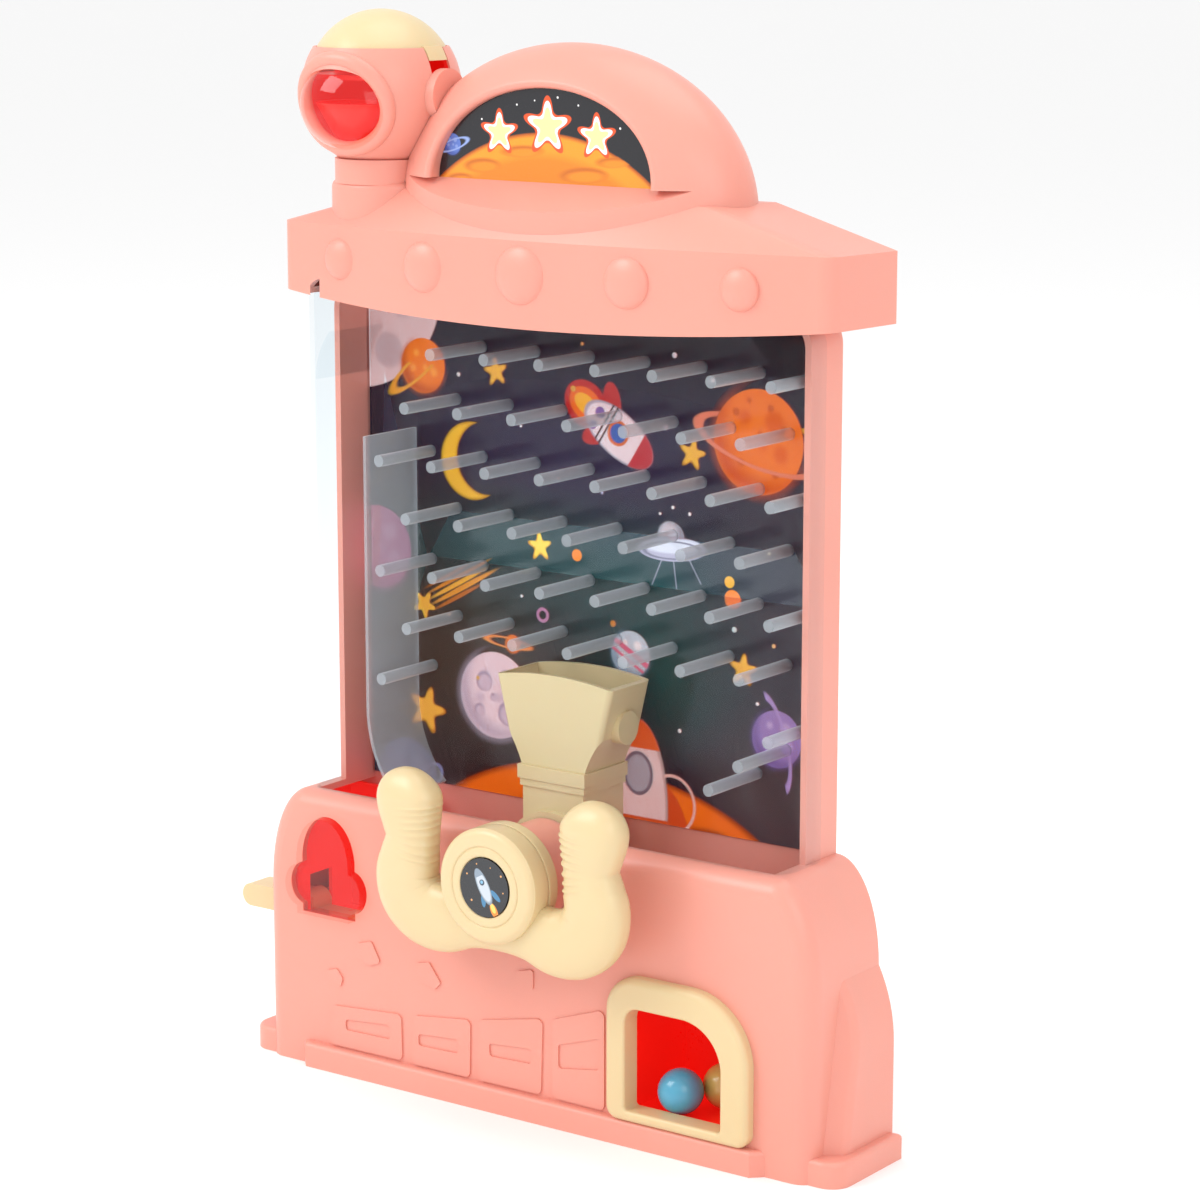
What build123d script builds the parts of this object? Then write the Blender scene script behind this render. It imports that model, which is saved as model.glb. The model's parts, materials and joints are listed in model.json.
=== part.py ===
from build123d import *
import os
from math import atan2, cos, degrees, radians, sin, sqrt

os.makedirs("parts", exist_ok=True)

# Frame: X across the front, -Y towards the player, +Z up, all in millimetres.
# The origin is the middle of the footprint, on the table.

# ---------------------------------------------------------------- fits
fit = 0.15                  # gap between fixed pieces that slip into each other
running_fit = 0.06          # radial gap of a shaft or a pin in its hole
press_fit = 0.02            # radial gap of a pin or a shaft that stays put in its hole
moving_gap = 0.4            # gap between pieces that move past each other
screw_radius = 1.3
screw_head_radius = 2.6
screw_head_height = 1.4

# ---------------------------------------------------------------- base
base_wall = 2.2
base_half_width = 111.0
base_height = 96.0
base_front = -18.5
machine_back = 21.0
shoulder_width = 16.0
shoulder_height = 34.0
base_front_round = 6.5
seam = 6.0                  # plane where the front and rear shells meet
foot_height = 8.4
foot_half_width = base_half_width + 9.5
foot_front = base_front - 3.5
foot_wing_front = base_front + 2.0
foot_step = base_half_width - 20.0
foot_round = 7.0
foot_edge = 1.6
fin_half_width = base_half_width + 6.0
fin_root = base_half_width - 9.2  # where the crease of a fin meets the foot
fin_peak = 62.4
fin_crease_back = base_front + 17.1
fin_crest = (base_front + 14.2, 21.0)
fin_straight = 38.0
plate_thickness = 2.0

# ---------------------------------------------------------------- playfield
field_half_width = 92.4
field_wall = 2.2
field_top = 268.0
field_side_front = 3.0
print_thickness = 0.6
pin_plate_thickness = 1.2
plate_front = machine_back - field_wall - print_thickness - pin_plate_thickness
cover_front = base_front + 5.8
cover_wall = 1.6
cover_back = 9.0
cover_corner = 8.0
cover_top_corner = 12.0

# ---------------------------------------------------------------- pins
pin_radius = 2.0
pin_front = cover_front + cover_wall + 1.5
pin_pitch = 22.0
pin_row_pitch = 18.38
pin_top_row = field_top - 20.9
pin_margin = 1.5            # least gap between a pin and what moves or stands near it
channel_width = 20.7
divider_x = channel_width - field_half_width
divider_thickness = 1.2
divider_top = field_top - 50.0
divider_straight_end = base_height + 30.0
divider_foot_shift = 11.7

# ---------------------------------------------------------------- steering
wheel_x = 4.5
wheel_z = base_height - 11.4
shaft_radius = 4.0
bush_radius = 15.5
bush_front = base_front - 10.5
hub_radius = bush_radius + 3.5
wheel_seam = bush_front - 6.5
hub_face = wheel_seam - 9.0
grip_front = hub_face + 3.0
grip_back = bush_front - 0.5
grip_edge = 4.5             # rounding of the grips, front and back
hub_edge = 1.8
badge_radius = 9.6
badge_thickness = 0.8
catcher_front = cover_front + cover_wall + 3.1
catcher_back = plate_front - 3.0
catcher_wall = 1.6
catcher_edge = 2.0          # rounding along the funnel
catcher_ring_radius = bush_radius + 2.0
catcher_top = 60.0          # heights and half-widths from the steering axis
catcher_half_width = 23.2
catcher_waist = 43.0
catcher_waist_half = catcher_half_width - 4.2
catcher_lip = 2.2
catcher_neck = 33.0
catcher_neck_half = 12.2

# ---------------------------------------------------------------- outlet
outlet_left = 35.6
outlet_right = 90.2
outlet_edge = 1.2           # rounding of the opening
outlet_rim_left = 7.8
outlet_rim_right = 10.0
outlet_rim_top = 10.2
outlet_rim_bottom = 4.0
sleeve = 3.0                # how far the surround reaches in behind the base's front
outlet_top = 56.8
outlet_front = base_front - 4.5
tray_wall = 1.6
tray_depth_back = 15.0
lip = 1.8                   # height of the surround's edge above the tray floor
tray_floor = foot_height + outlet_rim_bottom - lip
ball_radius = 7.5

# ---------------------------------------------------------------- relief on the base's front
# corners from the outlet's left edge and the foot's top: each plate with its sunk bar, then the chips
relief_height = 0.6
relief_plates = [
    ([(-118.6, 0.6), (-86.4, 0.8), (-86.7, 16.9), (-116.6, 14.5)],
     [(-111.1, 6.8), (-91.3, 7.2), (-91.8, 12.3), (-111.0, 10.6)]),
    ([(-82.2, 0.6), (-57.6, 0.6), (-57.2, 20.7), (-81.2, 17.6)],
     [(-79.3, 7.5), (-62.4, 8.0), (-62.4, 13.0), (-79.3, 11.6)]),
    ([(-54.4, 0.6), (-28.1, 0.8), (-27.3, 26.8), (-53.5, 21.4)],
     [(-49.2, 9.8), (-32.0, 10.5), (-32.0, 15.7), (-49.5, 14.2)]),
    ([(-23.4, 0.8), (-2.6, 0.6), (-2.6, 34.5), (-23.4, 27.3)],
     [(-21.0, 11.2), (-4.8, 13.8), (-4.1, 24.8), (-21.0, 19.3)]),
]
relief_chips = [
    [(-113.1, 21.3), (-112.2, 24.9), (-114.7, 27.8), (-120.7, 26.0)],
    [(-100.2, 31.5), (-95.5, 33.4), (-99.3, 40.1), (-105.2, 38.4), (-107.0, 34.0)],
    [(-72.1, 28.4), (-69.6, 30.9), (-74.5, 37.3), (-80.2, 36.0), (-78.6, 29.9)],
    [(-31.2, 35.6), (-31.2, 42.7), (-37.6, 41.1), (-38.6, 36.6)],
]

# ---------------------------------------------------------------- window and lever
window_x = 9.9 - field_half_width
window_body_half = 11.5
window_top = base_height - 7.5
window_lobe_half = 16.6
window_lobe_z = window_top - 24.5
window_bottom = window_top - 34.0
window_bulge = 3.4
lens_wall = 1.4
lever_y = -2.7
lever_width = 10.6
lever_thickness = 8.0
lever_z = window_bottom - 2.9
lever_tip = -base_half_width - 20.0
lever_pivot_x = 7.0 - base_half_width
lever_inner_end = window_x + 8.5
lever_travel = 10.0         # degrees
pin_steel_radius = 1.5
spring_wire = 0.35
lever_spring_room = 4.0     # gap along the pin between the lever and the rear cheek

# ---------------------------------------------------------------- top
top_x = 1.5                 # the saucer sits a little off the middle of the base
brim_half_width = 112.0
brim_corner_half = brim_half_width - 4.5
brim_front = base_front - 2.5
brim_corner_y = base_front + 9.5
brim_round = 6.0
brim_wall = 2.4
brim_low_centre = field_top - 8.2
brim_low_end = field_top - 0.5
brim_shoulder = field_top + 19.5
dome_foot_z = field_top + 32.0
dome_half_width = 67.0
dome_height = 51.6
dome_depth = 29.0
dome_centre_y = 9.0
dome_centre_z = dome_foot_z - 4.0
dome_wall = 2.4
arch_edge = 1.6             # rounding round the opening of the picture
marquee_half_width = 43.0
marquee_low = dome_foot_z + 4.5
marquee_high = marquee_low + 29.5
marquee_y = -6.6
marquee_thickness = 0.8
sill_drop = 8.0
bump_radius = 9.5
bump_z = brim_shoulder - 10.9
bump_spacing = 39.5

# ---------------------------------------------------------------- astronaut
head_x = -72.0
head_y = 2.0
head_radius = 26.2
torso_top = dome_foot_z + 2.0
head_z = torso_top + head_radius + 2.8
head_wall = 2.0
cap_height = 14.0           # height of the cap's edge above the middle of the head
cap_gap = 0.4
press_travel = 4.0
visor_half_width = 18.0
visor_half_height = 15.2
visor_z = head_z - 4.0
visor_front = head_y - head_radius - 3.3
visor_centre_back = 16.0    # how far the visor's middle lies before the middle of the head
visor_wall = 1.3
neck_radius = 15.6
ear_radius = 8.5
torso_half_width = 17.5
torso_half_depth = 15.5
feed_x = head_x - 3.0
feed_y = head_y - 3.0
feed_bore = ball_radius + 0.7
feed_wall = 1.0
feed_low = field_top - 4.0
bowl_low = head_z - 19.0
bowl_high = head_z - 4.0
bowl_radius = 17.5
bowl_wall = 1.2
rod_x = head_x + 3.5
rod_front = head_y + 5.6
rod_back = rod_front + 5.6
rod_width = 3.0
gate_z = torso_top + 0.5
gate_thickness = 2.0
gate_reach = 3.0            # how far the gate stands into the feed bore
guide_z = head_z + 3.4
guide_thickness = 1.6


def box_between(x0, x1, y0, y1, z0, z1):
    """A box given by its lowest and highest corner."""
    centre = Pos((x0 + x1) / 2, (y0 + y1) / 2, (z0 + z1) / 2)
    return centre * Box(x1 - x0, y1 - y0, z1 - z0)


def prism_y(face, y0, y1):
    """Extrude a face drawn in X and Z from y0 to y1."""
    plane = Plane(origin=(0, y1, 0), x_dir=(1, 0, 0), z_dir=(0, -1, 0))
    return extrude(plane * face, amount=y1 - y0, dir=(0, -1, 0))


def prism_z(face, z0, z1):
    """Extrude a face drawn in X and Y from z0 to z1."""
    return extrude(Pos(0, 0, z0) * face, amount=z1 - z0, dir=(0, 0, 1))


def prism_x(points, x0, x1):
    """Extrude a polygon given as (y, z) points from x0 to x1."""
    plane = Plane(origin=(x0, 0, 0), x_dir=(0, 1, 0), z_dir=(1, 0, 0))
    return extrude(plane * Polygon(*points, align=None), amount=x1 - x0, dir=(1, 0, 0))


def rod_y(x, z, radius, y0, y1):
    """A round bar along Y."""
    return Pos(x, (y0 + y1) / 2, z) * Rot(90, 0, 0) * Cylinder(radius, y1 - y0)


def rod_z(x, y, radius, z0, z1):
    """A round bar along Z."""
    return Pos(x, y, (z0 + z1) / 2) * Cylinder(radius, z1 - z0)


def ellipsoid(x, y, z, rx, ry, rz):
    """A ball stretched to three half-lengths."""
    return Pos(x, y, z) * scale(Sphere(1), by=(rx, ry, rz))


def coil(length, radius, wire, turns):
    """A coil spring that stands on the origin along Z."""
    run = length - 2 * wire
    path = Pos(0, 0, wire) * Helix(run / turns, run, radius)
    return sweep((path ^ 0) * Circle(wire), path=path, is_frenet=True)


def screw_y(x, z, y0, y1):
    """A screw along Y: its head starts at y1 and its tip ends at y0."""
    return rod_y(x, z, screw_radius, y0, y1) + rod_y(x, z, screw_head_radius, y1, y1 + screw_head_height)


def save(shape, name):
    """Write one node of the model."""
    export_step(shape, f"parts/{name}.step")


# ------------------------------------------------------------------ base
def shoulder_face(inset):
    """Front outline of the base: straight sides that round over into a flat top."""
    half = base_half_width - inset
    top = base_height - inset
    rx = shoulder_width - inset
    rz = shoulder_height - inset
    face = Pos(0, (top - rz) / 2) * Rectangle(2 * half, top - rz)
    face += Pos(0, top / 2) * Rectangle(2 * (half - rx), top)
    for side in (-1, 1):
        face += Pos(side * (half - rx), top - rz) * Ellipse(rx, rz)
    return face


def fin(side, inset):
    """One rocket fin: a buttress whose front face leans back along its crease."""
    low = Vector(fin_root, base_front, 0)
    peak = Vector(base_half_width, fin_crease_back, fin_peak)
    crest = Vector(fin_half_width, *fin_crest)
    outline = Polyline((80, 0), (fin_half_width - inset, 0), (fin_half_width - inset, fin_straight))
    outline += Line((base_half_width - inset, fin_peak - inset), (80, fin_peak - inset))
    outline += Line((80, fin_peak - inset), (80, 0))
    outline += ThreePointArc((fin_half_width - inset, fin_straight),
                             (fin_half_width - 1.4 - inset, fin_straight + 12),
                             (base_half_width - inset, fin_peak - inset))
    body = prism_y(make_face(outline), base_front + inset, machine_back - inset)
    normal = (peak - low).cross(crest - low).normalized()
    cut = Plane(origin=low + normal * inset, z_dir=normal)
    body = split(body, bisect_by=cut, keep=Keep.TOP)
    if inset == 0:
        edges = [e for e in body.edges() if abs((e @ 0.5 - low).dot(normal)) < 0.05
                 and (e @ 0.5).X > base_half_width and (e @ 0.5).Z > 1]
        body = fillet(edges, 4)
    return body if side > 0 else mirror(body, about=Plane.YZ)


def base_form(inset):
    """The outer form of the base, every face moved in by the inset."""
    body = prism_y(shoulder_face(inset), base_front + inset, machine_back - inset)
    front = body.faces().sort_by(Axis.Y)[0]
    edges = [e for e in front.edges() if (e @ 0.5).Z > 1]
    body = fillet(edges, base_front_round - inset)
    for side in (-1, 1):
        body += fin(side, inset)
    return body


def foot():
    """The foot all round: its middle stands further forward than its two wings."""
    depth = machine_back - foot_wing_front
    wings = Pos(0, (machine_back + foot_wing_front) / 2) * Rectangle(2 * foot_half_width, depth)
    wings = fillet(wings.vertices().sort_by(Axis.Y)[:2], foot_round)
    slope = foot_wing_front - foot_front
    nose = Polygon((-foot_step - slope, foot_wing_front), (-foot_step, foot_front),
                   (foot_step, foot_front), (foot_step + slope, foot_wing_front), align=None)
    slab = prism_z(wings + nose, 0, foot_height)
    return fillet(slab.faces().sort_by(Axis.Z)[-1].edges(), foot_edge)


def base_shell():
    """Hollow base, open below, with the holes for everything that passes its walls."""
    shell = base_form(0) + foot() - base_form(base_wall)
    shell -= box_between(-field_half_width, field_half_width, cover_front + cover_wall,
                         machine_back - field_wall, base_height - 2 * base_wall, base_height + 1)
    shell -= rod_y(wheel_x, wheel_z, bush_radius + fit, base_front - 9, cover_front + cover_wall)
    shell -= prism_y(outlet_face(tray_wall + fit), base_front - 9, base_front + 9)
    shell -= prism_y(window_face(0), base_front - 9, base_front + 9)
    shell -= lever_slot()
    return shell


def lever_slot():
    """The slot in the left side for the lever and its swing."""
    swing = (fin_half_width + lever_pivot_x) * sin(radians(lever_travel)) + 1
    half = lever_width / 2 + moving_gap
    top = lever_z + lever_thickness / 2 + 1
    return box_between(-fin_half_width - 5, lever_pivot_x, lever_y - half, lever_y + half,
                       lever_z - lever_thickness / 2 - swing - 1, top)


def boss(x, z, y0, y1):
    """A post for a screw."""
    return rod_y(x, z, 2.4 * screw_radius, y0, y1)


def base_posts():
    """Centres of the posts that screw the two halves of the base together."""
    return [(-100.0, 18.0), (100.0, 18.0), (-20.0, 30.0), (96.0, 76.0)]


def make_base():
    shell = base_shell()
    front = split(shell, bisect_by=Plane(origin=(0, seam, 0), z_dir=(0, 1, 0)), keep=Keep.BOTTOM)
    rear = split(shell, bisect_by=Plane(origin=(0, seam, 0), z_dir=(0, 1, 0)), keep=Keep.TOP)
    screws = []
    for x, z in base_posts():
        front += boss(x, z, base_front + base_wall, seam)
        rear += boss(x, z, seam, machine_back - base_wall)
        front -= rod_y(x, z, screw_radius + 0.05, 0, seam)
        rear -= rod_y(x, z, screw_radius + fit, seam, machine_back)
        rear -= rod_y(x, z, screw_head_radius + fit, machine_back - screw_head_height, machine_back)
        screws.append(screw_y(x, z, 0.5, machine_back - screw_head_height))
    front += prism_y(relief_face(), base_front - relief_height, base_front + 0.5)
    front += lever_cheek(-1)
    rear += lever_cheek(1)
    save(front, "base_front")
    save(rear, "base_rear")
    save(Compound(children=screws), "base_screws")
    plate = base_form(base_wall + fit) & box_between(-200, 200, -100, 100, 0, plate_thickness)
    save(plate, "base_plate")


def lever_cheek(side):
    """A post on the front or the rear wall that holds one end of the lever's pin."""
    hole = pin_steel_radius + 0.02
    room = moving_gap if side < 0 else lever_spring_room
    end = lever_y + side * (lever_width / 2 + room)
    wall = base_front + base_wall if side < 0 else machine_back - base_wall
    post = rod_y(lever_pivot_x, lever_z, 2 * pin_steel_radius, min(end, wall), max(end, wall))
    return post - rod_y(lever_pivot_x, lever_z, hole, *sorted((end, end + side * 4)))


def rounded(corners, radius):
    face = make_face(Polyline(*corners, close=True))
    return fillet(face.vertices(), radius)


def relief_face():
    """Raised shapes on the front, laid out from the outlet's left edge and the foot's top."""
    face = Sketch()
    for plate, bar in relief_plates:
        face += rounded(plate, 2.0) - rounded(bar, 1.2)
    for chip in relief_chips:
        face += rounded(chip, 1.0)
    return Pos(outlet_left, foot_height) * face


# ------------------------------------------------------------------ outlet
def outlet_face(grow):
    """The D of the outlet: its opening, grown by a rim on every side."""
    left = outlet_left + outlet_rim_left - grow
    right = outlet_right - outlet_rim_right + grow
    low = foot_height + outlet_rim_bottom - grow
    high = outlet_top - outlet_rim_top + grow
    face = Pos((left + right) / 2, (low + high) / 2) * Rectangle(right - left, high - low)
    corners = face.vertices().sort_by(Axis.Y)
    lower = corners[:2]
    face = fillet(lower, 1.2 + grow / 2)
    upper = face.vertices().sort_by(Axis.Y)[-2:].sort_by(Axis.X)
    face = fillet(upper[0], 5.0 + grow / 2)
    return fillet(face.vertices().sort_by(Axis.X)[-1], 15.0 + grow / 2)


def outlet_outer_face():
    """The rim's outline: wider at the top and the right than at the left and the bottom."""
    left, right, low, high = outlet_left, outlet_right, foot_height + 0.1, outlet_top
    face = Pos((left + right) / 2, (low + high) / 2) * Rectangle(right - left, high - low)
    face = fillet(face.vertices().sort_by(Axis.Y)[:2], 4.5)
    upper = face.vertices().sort_by(Axis.Y)[-2:].sort_by(Axis.X)
    face = fillet(upper[0], 12.0)
    return fillet(face.vertices().sort_by(Axis.Y)[-1], 23.0)


def make_outlet():
    rim = prism_y(outlet_outer_face(), outlet_front, base_front)
    rim = fillet(rim.faces().sort_by(Axis.Y)[0].edges(), 2.4)
    rim += prism_y(outlet_face(tray_wall), base_front, base_front + sleeve)
    rim -= prism_y(outlet_face(0), outlet_front - 1, base_front + 2 * sleeve)
    rim = fillet(rim.faces().sort_by(Axis.Y)[0].inner_wires()[0].edges(), outlet_edge)
    save(rim, "outlet_frame")
    left = outlet_left + outlet_rim_left - tray_wall - 2 * fit
    right = outlet_right - outlet_rim_right + tray_wall + 2 * fit
    high = outlet_top - outlet_rim_top + tray_wall + 1.8
    front = base_front + base_wall
    tray = box_between(left - tray_wall, right + tray_wall, front, tray_depth_back + tray_wall,
                       tray_floor - tray_wall, high + tray_wall)
    tray -= box_between(left, right, front - 1, tray_depth_back, tray_floor, high)
    tray -= box_between(left + 1, right - 6, front + 5, tray_depth_back - 0.5, high - 1, high + 5)
    save(tray, "outlet_tray")
    return left, right, high + tray_wall


# ------------------------------------------------------------------ window and lever
def window_face(shrink):
    """A stubby rocket: a round nose, two fin lobes and an engine below."""
    half = window_body_half - shrink
    face = Pos(window_x, window_top - window_body_half - 4) * Ellipse(half, window_body_half + 4 - shrink)
    face += Pos(window_x, (window_top + window_bottom) / 2 - 7) * Rectangle(2 * half, 21 - shrink)
    for side in (-1, 1):
        lobe = Pos(window_x + side * (window_lobe_half - 6.2), window_lobe_z)
        face += lobe * Ellipse(6.2 - shrink, 7.4 - shrink)
    face += Pos(window_x, window_bottom + 5) * Ellipse(8 - shrink, 5 - shrink)
    return face


def make_window():
    lens = prism_y(window_face(fit), base_front - window_bulge, base_front + base_wall)
    lens -= prism_y(window_face(fit + lens_wall), base_front - window_bulge + lens_wall,
                    base_front + base_wall + 1)
    lens += prism_y(window_face(-0.8) - window_face(fit + lens_wall), base_front + base_wall,
                    base_front + base_wall + 1.2)
    save(lens, "window_lens")
    x0 = lever_pivot_x + 2 * pin_steel_radius + fit
    x1 = window_x + window_lobe_half + 2.5
    low = window_bottom - 8
    front = base_front + base_wall + 1.2 + fit
    chamber = box_between(x0, x1, front, 15, low, base_height - base_wall - 1.5)
    chamber -= box_between(x0 + 1.4, x1 - 1.4, front - 1, 13.6, low + 1.4, base_height)
    half = lever_width / 2 + moving_gap
    chamber -= box_between(x0 - 1, lever_inner_end + 1, lever_y - half, lever_y + half, low - 1, lever_z + 7)
    chamber -= box_between(x0 - 1, x0 + 4, lever_y - half, lever_y + half, low - 1, lever_z + 12)
    chamber &= base_form(base_wall + fit)
    save(chamber, "launch_chamber")


def make_lever():
    y0 = lever_y - lever_width / 2
    y1 = lever_y + lever_width / 2
    half = lever_thickness / 2
    bar = box_between(lever_tip + half, lever_pivot_x, y0, y1, lever_z - half, lever_z + half)
    bar += rod_y(lever_tip + half, lever_z, half, y0, y1)
    bar += rod_y(lever_pivot_x, lever_z, half + 0.8, y0, y1)
    bar += box_between(lever_pivot_x, lever_inner_end, y0 + 0.8, y1 - 0.8, lever_z - half, lever_z - half + 3)
    bar -= rod_y(lever_pivot_x, lever_z, pin_steel_radius + running_fit, y0 - 1, y1 + 1)
    save(bar, "side_lever")
    save(rod_y(lever_pivot_x, lever_z, pin_steel_radius, y0 - 4, y1 + lever_spring_room + 3), "lever_pin")
    spring = coil(lever_spring_room - 2 * fit, 2.4, spring_wire, 4)
    spring = Pos(lever_pivot_x, y1 + lever_spring_room - fit, lever_z) * Rot(90, 0, 0) * spring
    save(spring, "lever_spring")


# ------------------------------------------------------------------ playfield
def make_playfield():
    back = machine_back
    pan = prism_y(field_face(-field_wall, 0), field_side_front, back)
    pan -= prism_y(field_face(0, 1), field_side_front - 1, back - field_wall)
    pan -= rod_z(feed_x, feed_y, feed_bore + feed_wall + fit, field_top - 9, field_top + 1)
    save(pan, "playfield_shell")
    print_back = back - field_wall
    plate_back = plate_front + pin_plate_thickness
    save(prism_y(field_face(fit, 0), plate_back, print_back), "backboard_print")
    plate = prism_y(field_face(fit, 0), plate_front, plate_back)
    for x, z in pin_places():
        plate -= rod_y(x, z, pin_radius + 0.02, plate_front - 1, plate_back + 1)
    save(plate, "pin_plate")
    pins = [rod_y(x, z, pin_radius, pin_front, plate_back) for x, z in pin_places()]
    save(Compound(children=pins), "peg_pins")
    make_divider()
    make_deflectors()
    make_cover()


def field_face(inset, below):
    """Outline of the playfield with rounded upper corners, moved in by the inset."""
    half = field_half_width - inset
    high = field_top - field_wall - inset
    low = base_height - below
    face = Pos(0, (low + high) / 2) * Rectangle(2 * half, high - low)
    corner = cover_top_corner - cover_wall - fit - field_wall - inset
    return fillet(face.vertices().sort_by(Axis.Y)[2:], corner)


def catcher_reach():
    """How far the catcher's upper corners and lip reach from the steering axis."""
    return max(sqrt(catcher_half_width ** 2 + catcher_top ** 2), catcher_top + catcher_lip)


def pin_places():
    """Centres of the pins: staggered rows, then a slanting line on the right.
    Every pin stands clear of the catcher's sweep and of the walls."""
    sweep_radius = catcher_reach() + pin_margin + pin_radius
    first = divider_x + divider_thickness / 2 + pin_margin + pin_radius + 1.9
    room = field_half_width - pin_radius - pin_margin - first
    columns = int(room / pin_pitch) + 1
    rows = int((pin_top_row - wheel_z - sweep_radius) / pin_row_pitch) + 1
    places = []
    for row in range(rows):
        shift = (row % 2) * pin_pitch / 2
        for column in range(columns - row % 2):
            if row > 0 or column > 0:
                places.append((first + shift + column * pin_pitch, pin_top_row - row * pin_row_pitch))
    last = pin_top_row - rows * pin_row_pitch
    places.append((first, last))
    for step in range(3):
        x = first + (columns - 1 - step / 2) * pin_pitch
        places.append((x, last - step * pin_row_pitch / 2))
    return [(x, z) for x, z in places if sqrt((x - wheel_x) ** 2 + (z - wheel_z) ** 2) > sweep_radius
            and z > base_height + pin_radius]


def make_divider():
    """The thin wall of the launch channel: straight above, curving in at its foot."""
    path = Line((divider_x, divider_top), (divider_x, divider_straight_end))
    foot = (divider_x + divider_foot_shift, base_height + 1)
    path += TangentArc((divider_x, divider_straight_end), foot, tangent=(0, -1))
    wall = trace(path, line_width=divider_thickness)
    save(prism_y(wall, pin_front, plate_front), "channel_divider")


def make_deflectors():
    """The launch arc at the top left and the slanted corner piece at the top right."""
    inner = field_half_width - fit
    high = field_top - field_wall - fit
    arc_radius = 24.0
    middle = (arc_radius - inner, high - 30)
    arc = CenterArc(middle, arc_radius - divider_thickness / 2, 138, 42)
    save(prism_y(trace(arc, line_width=divider_thickness), pin_front, plate_front), "launch_arc")
    corner = Polygon((inner - 15, high), (inner, high), (inner, high - 16), align=None)
    corner = corner & field_face(fit, 0)
    save(prism_y(corner, pin_front, plate_front), "corner_deflector")


def cover_form(grow):
    """The clear cover's outer form: a deep tray on its side, grown by a margin."""
    half = field_half_width + field_wall + fit + cover_wall + grow
    high = field_top + fit + cover_wall + grow
    front = cover_front - grow
    plan = Pos(0, (front + cover_back) / 2) * Rectangle(2 * half, cover_back - front)
    plan = fillet(plan.vertices().sort_by(Axis.Y)[:2], cover_corner + grow)
    face = Pos(0, (base_height + high) / 2) * Rectangle(2 * half, high - base_height)
    face = fillet(face.vertices().sort_by(Axis.Y)[2:], cover_top_corner + grow)
    return prism_z(plan, base_height, high) & prism_y(face, front, cover_back)


def make_cover():
    cover = cover_form(0) - cover_form(-cover_wall)
    cover -= rod_y(wheel_x, wheel_z, bush_radius + 2 * fit, cover_front - 1, cover_back)
    cover -= rod_z(feed_x, feed_y, feed_bore + feed_wall + fit, field_top - 9, field_top + 9)
    save(cover, "clear_cover")


def make_ramps(tray_left, tray_right, tray_high):
    """Two chutes under the playfield that lead every ball to the outlet tray."""
    y0 = base_front + base_wall + 2 * fit
    y1 = machine_back - base_wall
    low = tray_high + 0.3
    start = divider_x + divider_foot_shift
    high = window_lobe_z + 6
    left = Polygon((start, high + 2), (tray_left + 1, low + 1.8), (tray_left + 1, low), (start, high),
                   align=None)
    right = Polygon((tray_right - 5, low), (tray_right - 5, low + 1.8), (tray_right + 20, low + 16),
                    (tray_right + 20, low + 14), align=None)
    save(prism_y(left, y0, y1), "collector_ramp")
    save(prism_y(right, y0, y1), "side_ramp")


# ------------------------------------------------------------------ steering
def wheel_outline():
    """Outline of the handle in its own frame: two upright grips on a crescent yoke."""
    right = [(0, -25.4), (11, -25.2), (17.5, -25.6), (25, -28), (33, -26), (41.5, -19.5),
             (47.2, -10.5), (49, -3), (47.3, 4), (46.0, 9), (48.6, 17), (49, 23.5),
             (45.6, 29.4), (37.5, 31.6), (29.4, 29.2), (25.6, 22.6), (26.2, 13), (27.8, 5),
             (28.2, -1), (26.6, -5.8), (23.6, -6.4), (19, -2), (17, 4)]
    edge = Spline([Vector(x, z) for x, z in right])
    edge += Spline([Vector(-x, z) for x, z in right])
    edge += Line(right[-1], (-right[-1][0], right[-1][1]))
    return make_face(edge)


def make_wheel():
    outline = Pos(wheel_x, wheel_z) * wheel_outline()
    front = prism_y(outline, grip_front, wheel_seam)
    front = fillet(front.faces().sort_by(Axis.Y)[0].edges(), grip_edge)
    back = prism_y(outline, wheel_seam, grip_back)
    back = fillet(back.faces().sort_by(Axis.Y)[-1].edges(), grip_edge)
    front += rod_y(wheel_x, wheel_z, hub_radius, hub_face, wheel_seam)
    front = fillet(front.faces().sort_by(Axis.Y)[0].edges(), hub_edge)
    back += rod_y(wheel_x, wheel_z, hub_radius, wheel_seam, bush_front - 0.6)
    back -= rod_y(wheel_x, wheel_z, bush_radius + 1, bush_front - 0.6, grip_back + 4)
    recess = badge_radius + fit
    front -= rod_y(wheel_x, wheel_z, recess, hub_face - 1, hub_face + badge_thickness)
    front -= rod_y(wheel_x, wheel_z, screw_head_radius + 0.3, hub_face, hub_face + 3)
    front -= rod_y(wheel_x, wheel_z, screw_radius + fit, hub_face, wheel_seam)
    back -= rod_y(wheel_x, wheel_z, shaft_radius + press_fit, wheel_seam, grip_back + 2)
    save(front, "wheel_front")
    save(back, "wheel_back")
    save(rod_y(wheel_x, wheel_z, badge_radius, hub_face, hub_face + badge_thickness), "hub_badge")
    shaft_front = wheel_seam + 0.05
    shaft = rod_y(wheel_x, wheel_z, shaft_radius, shaft_front, catcher_front)
    shaft -= rod_y(wheel_x, wheel_z, screw_radius + 0.02, shaft_front - 1, shaft_front + 9)
    save(shaft, "steering_shaft")
    screw = rod_y(wheel_x, wheel_z, screw_radius, hub_face + 3, shaft_front + 8)
    screw += rod_y(wheel_x, wheel_z, screw_head_radius, hub_face + 3 - screw_head_height, hub_face + 3)
    save(screw, "wheel_screw")
    bush = rod_y(wheel_x, wheel_z, bush_radius, bush_front, cover_front + cover_wall + 0.1)
    collar = rod_y(wheel_x, wheel_z, bush_radius + 2.5, base_front + base_wall, base_front + base_wall + 2)
    bush += collar & box_between(-50, 50, -50, 50, 0, base_height - base_front_round - 1)
    bush -= rod_y(wheel_x, wheel_z, shaft_radius + running_fit, bush_front - 1, cover_back)
    save(bush, "shaft_bush")


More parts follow.
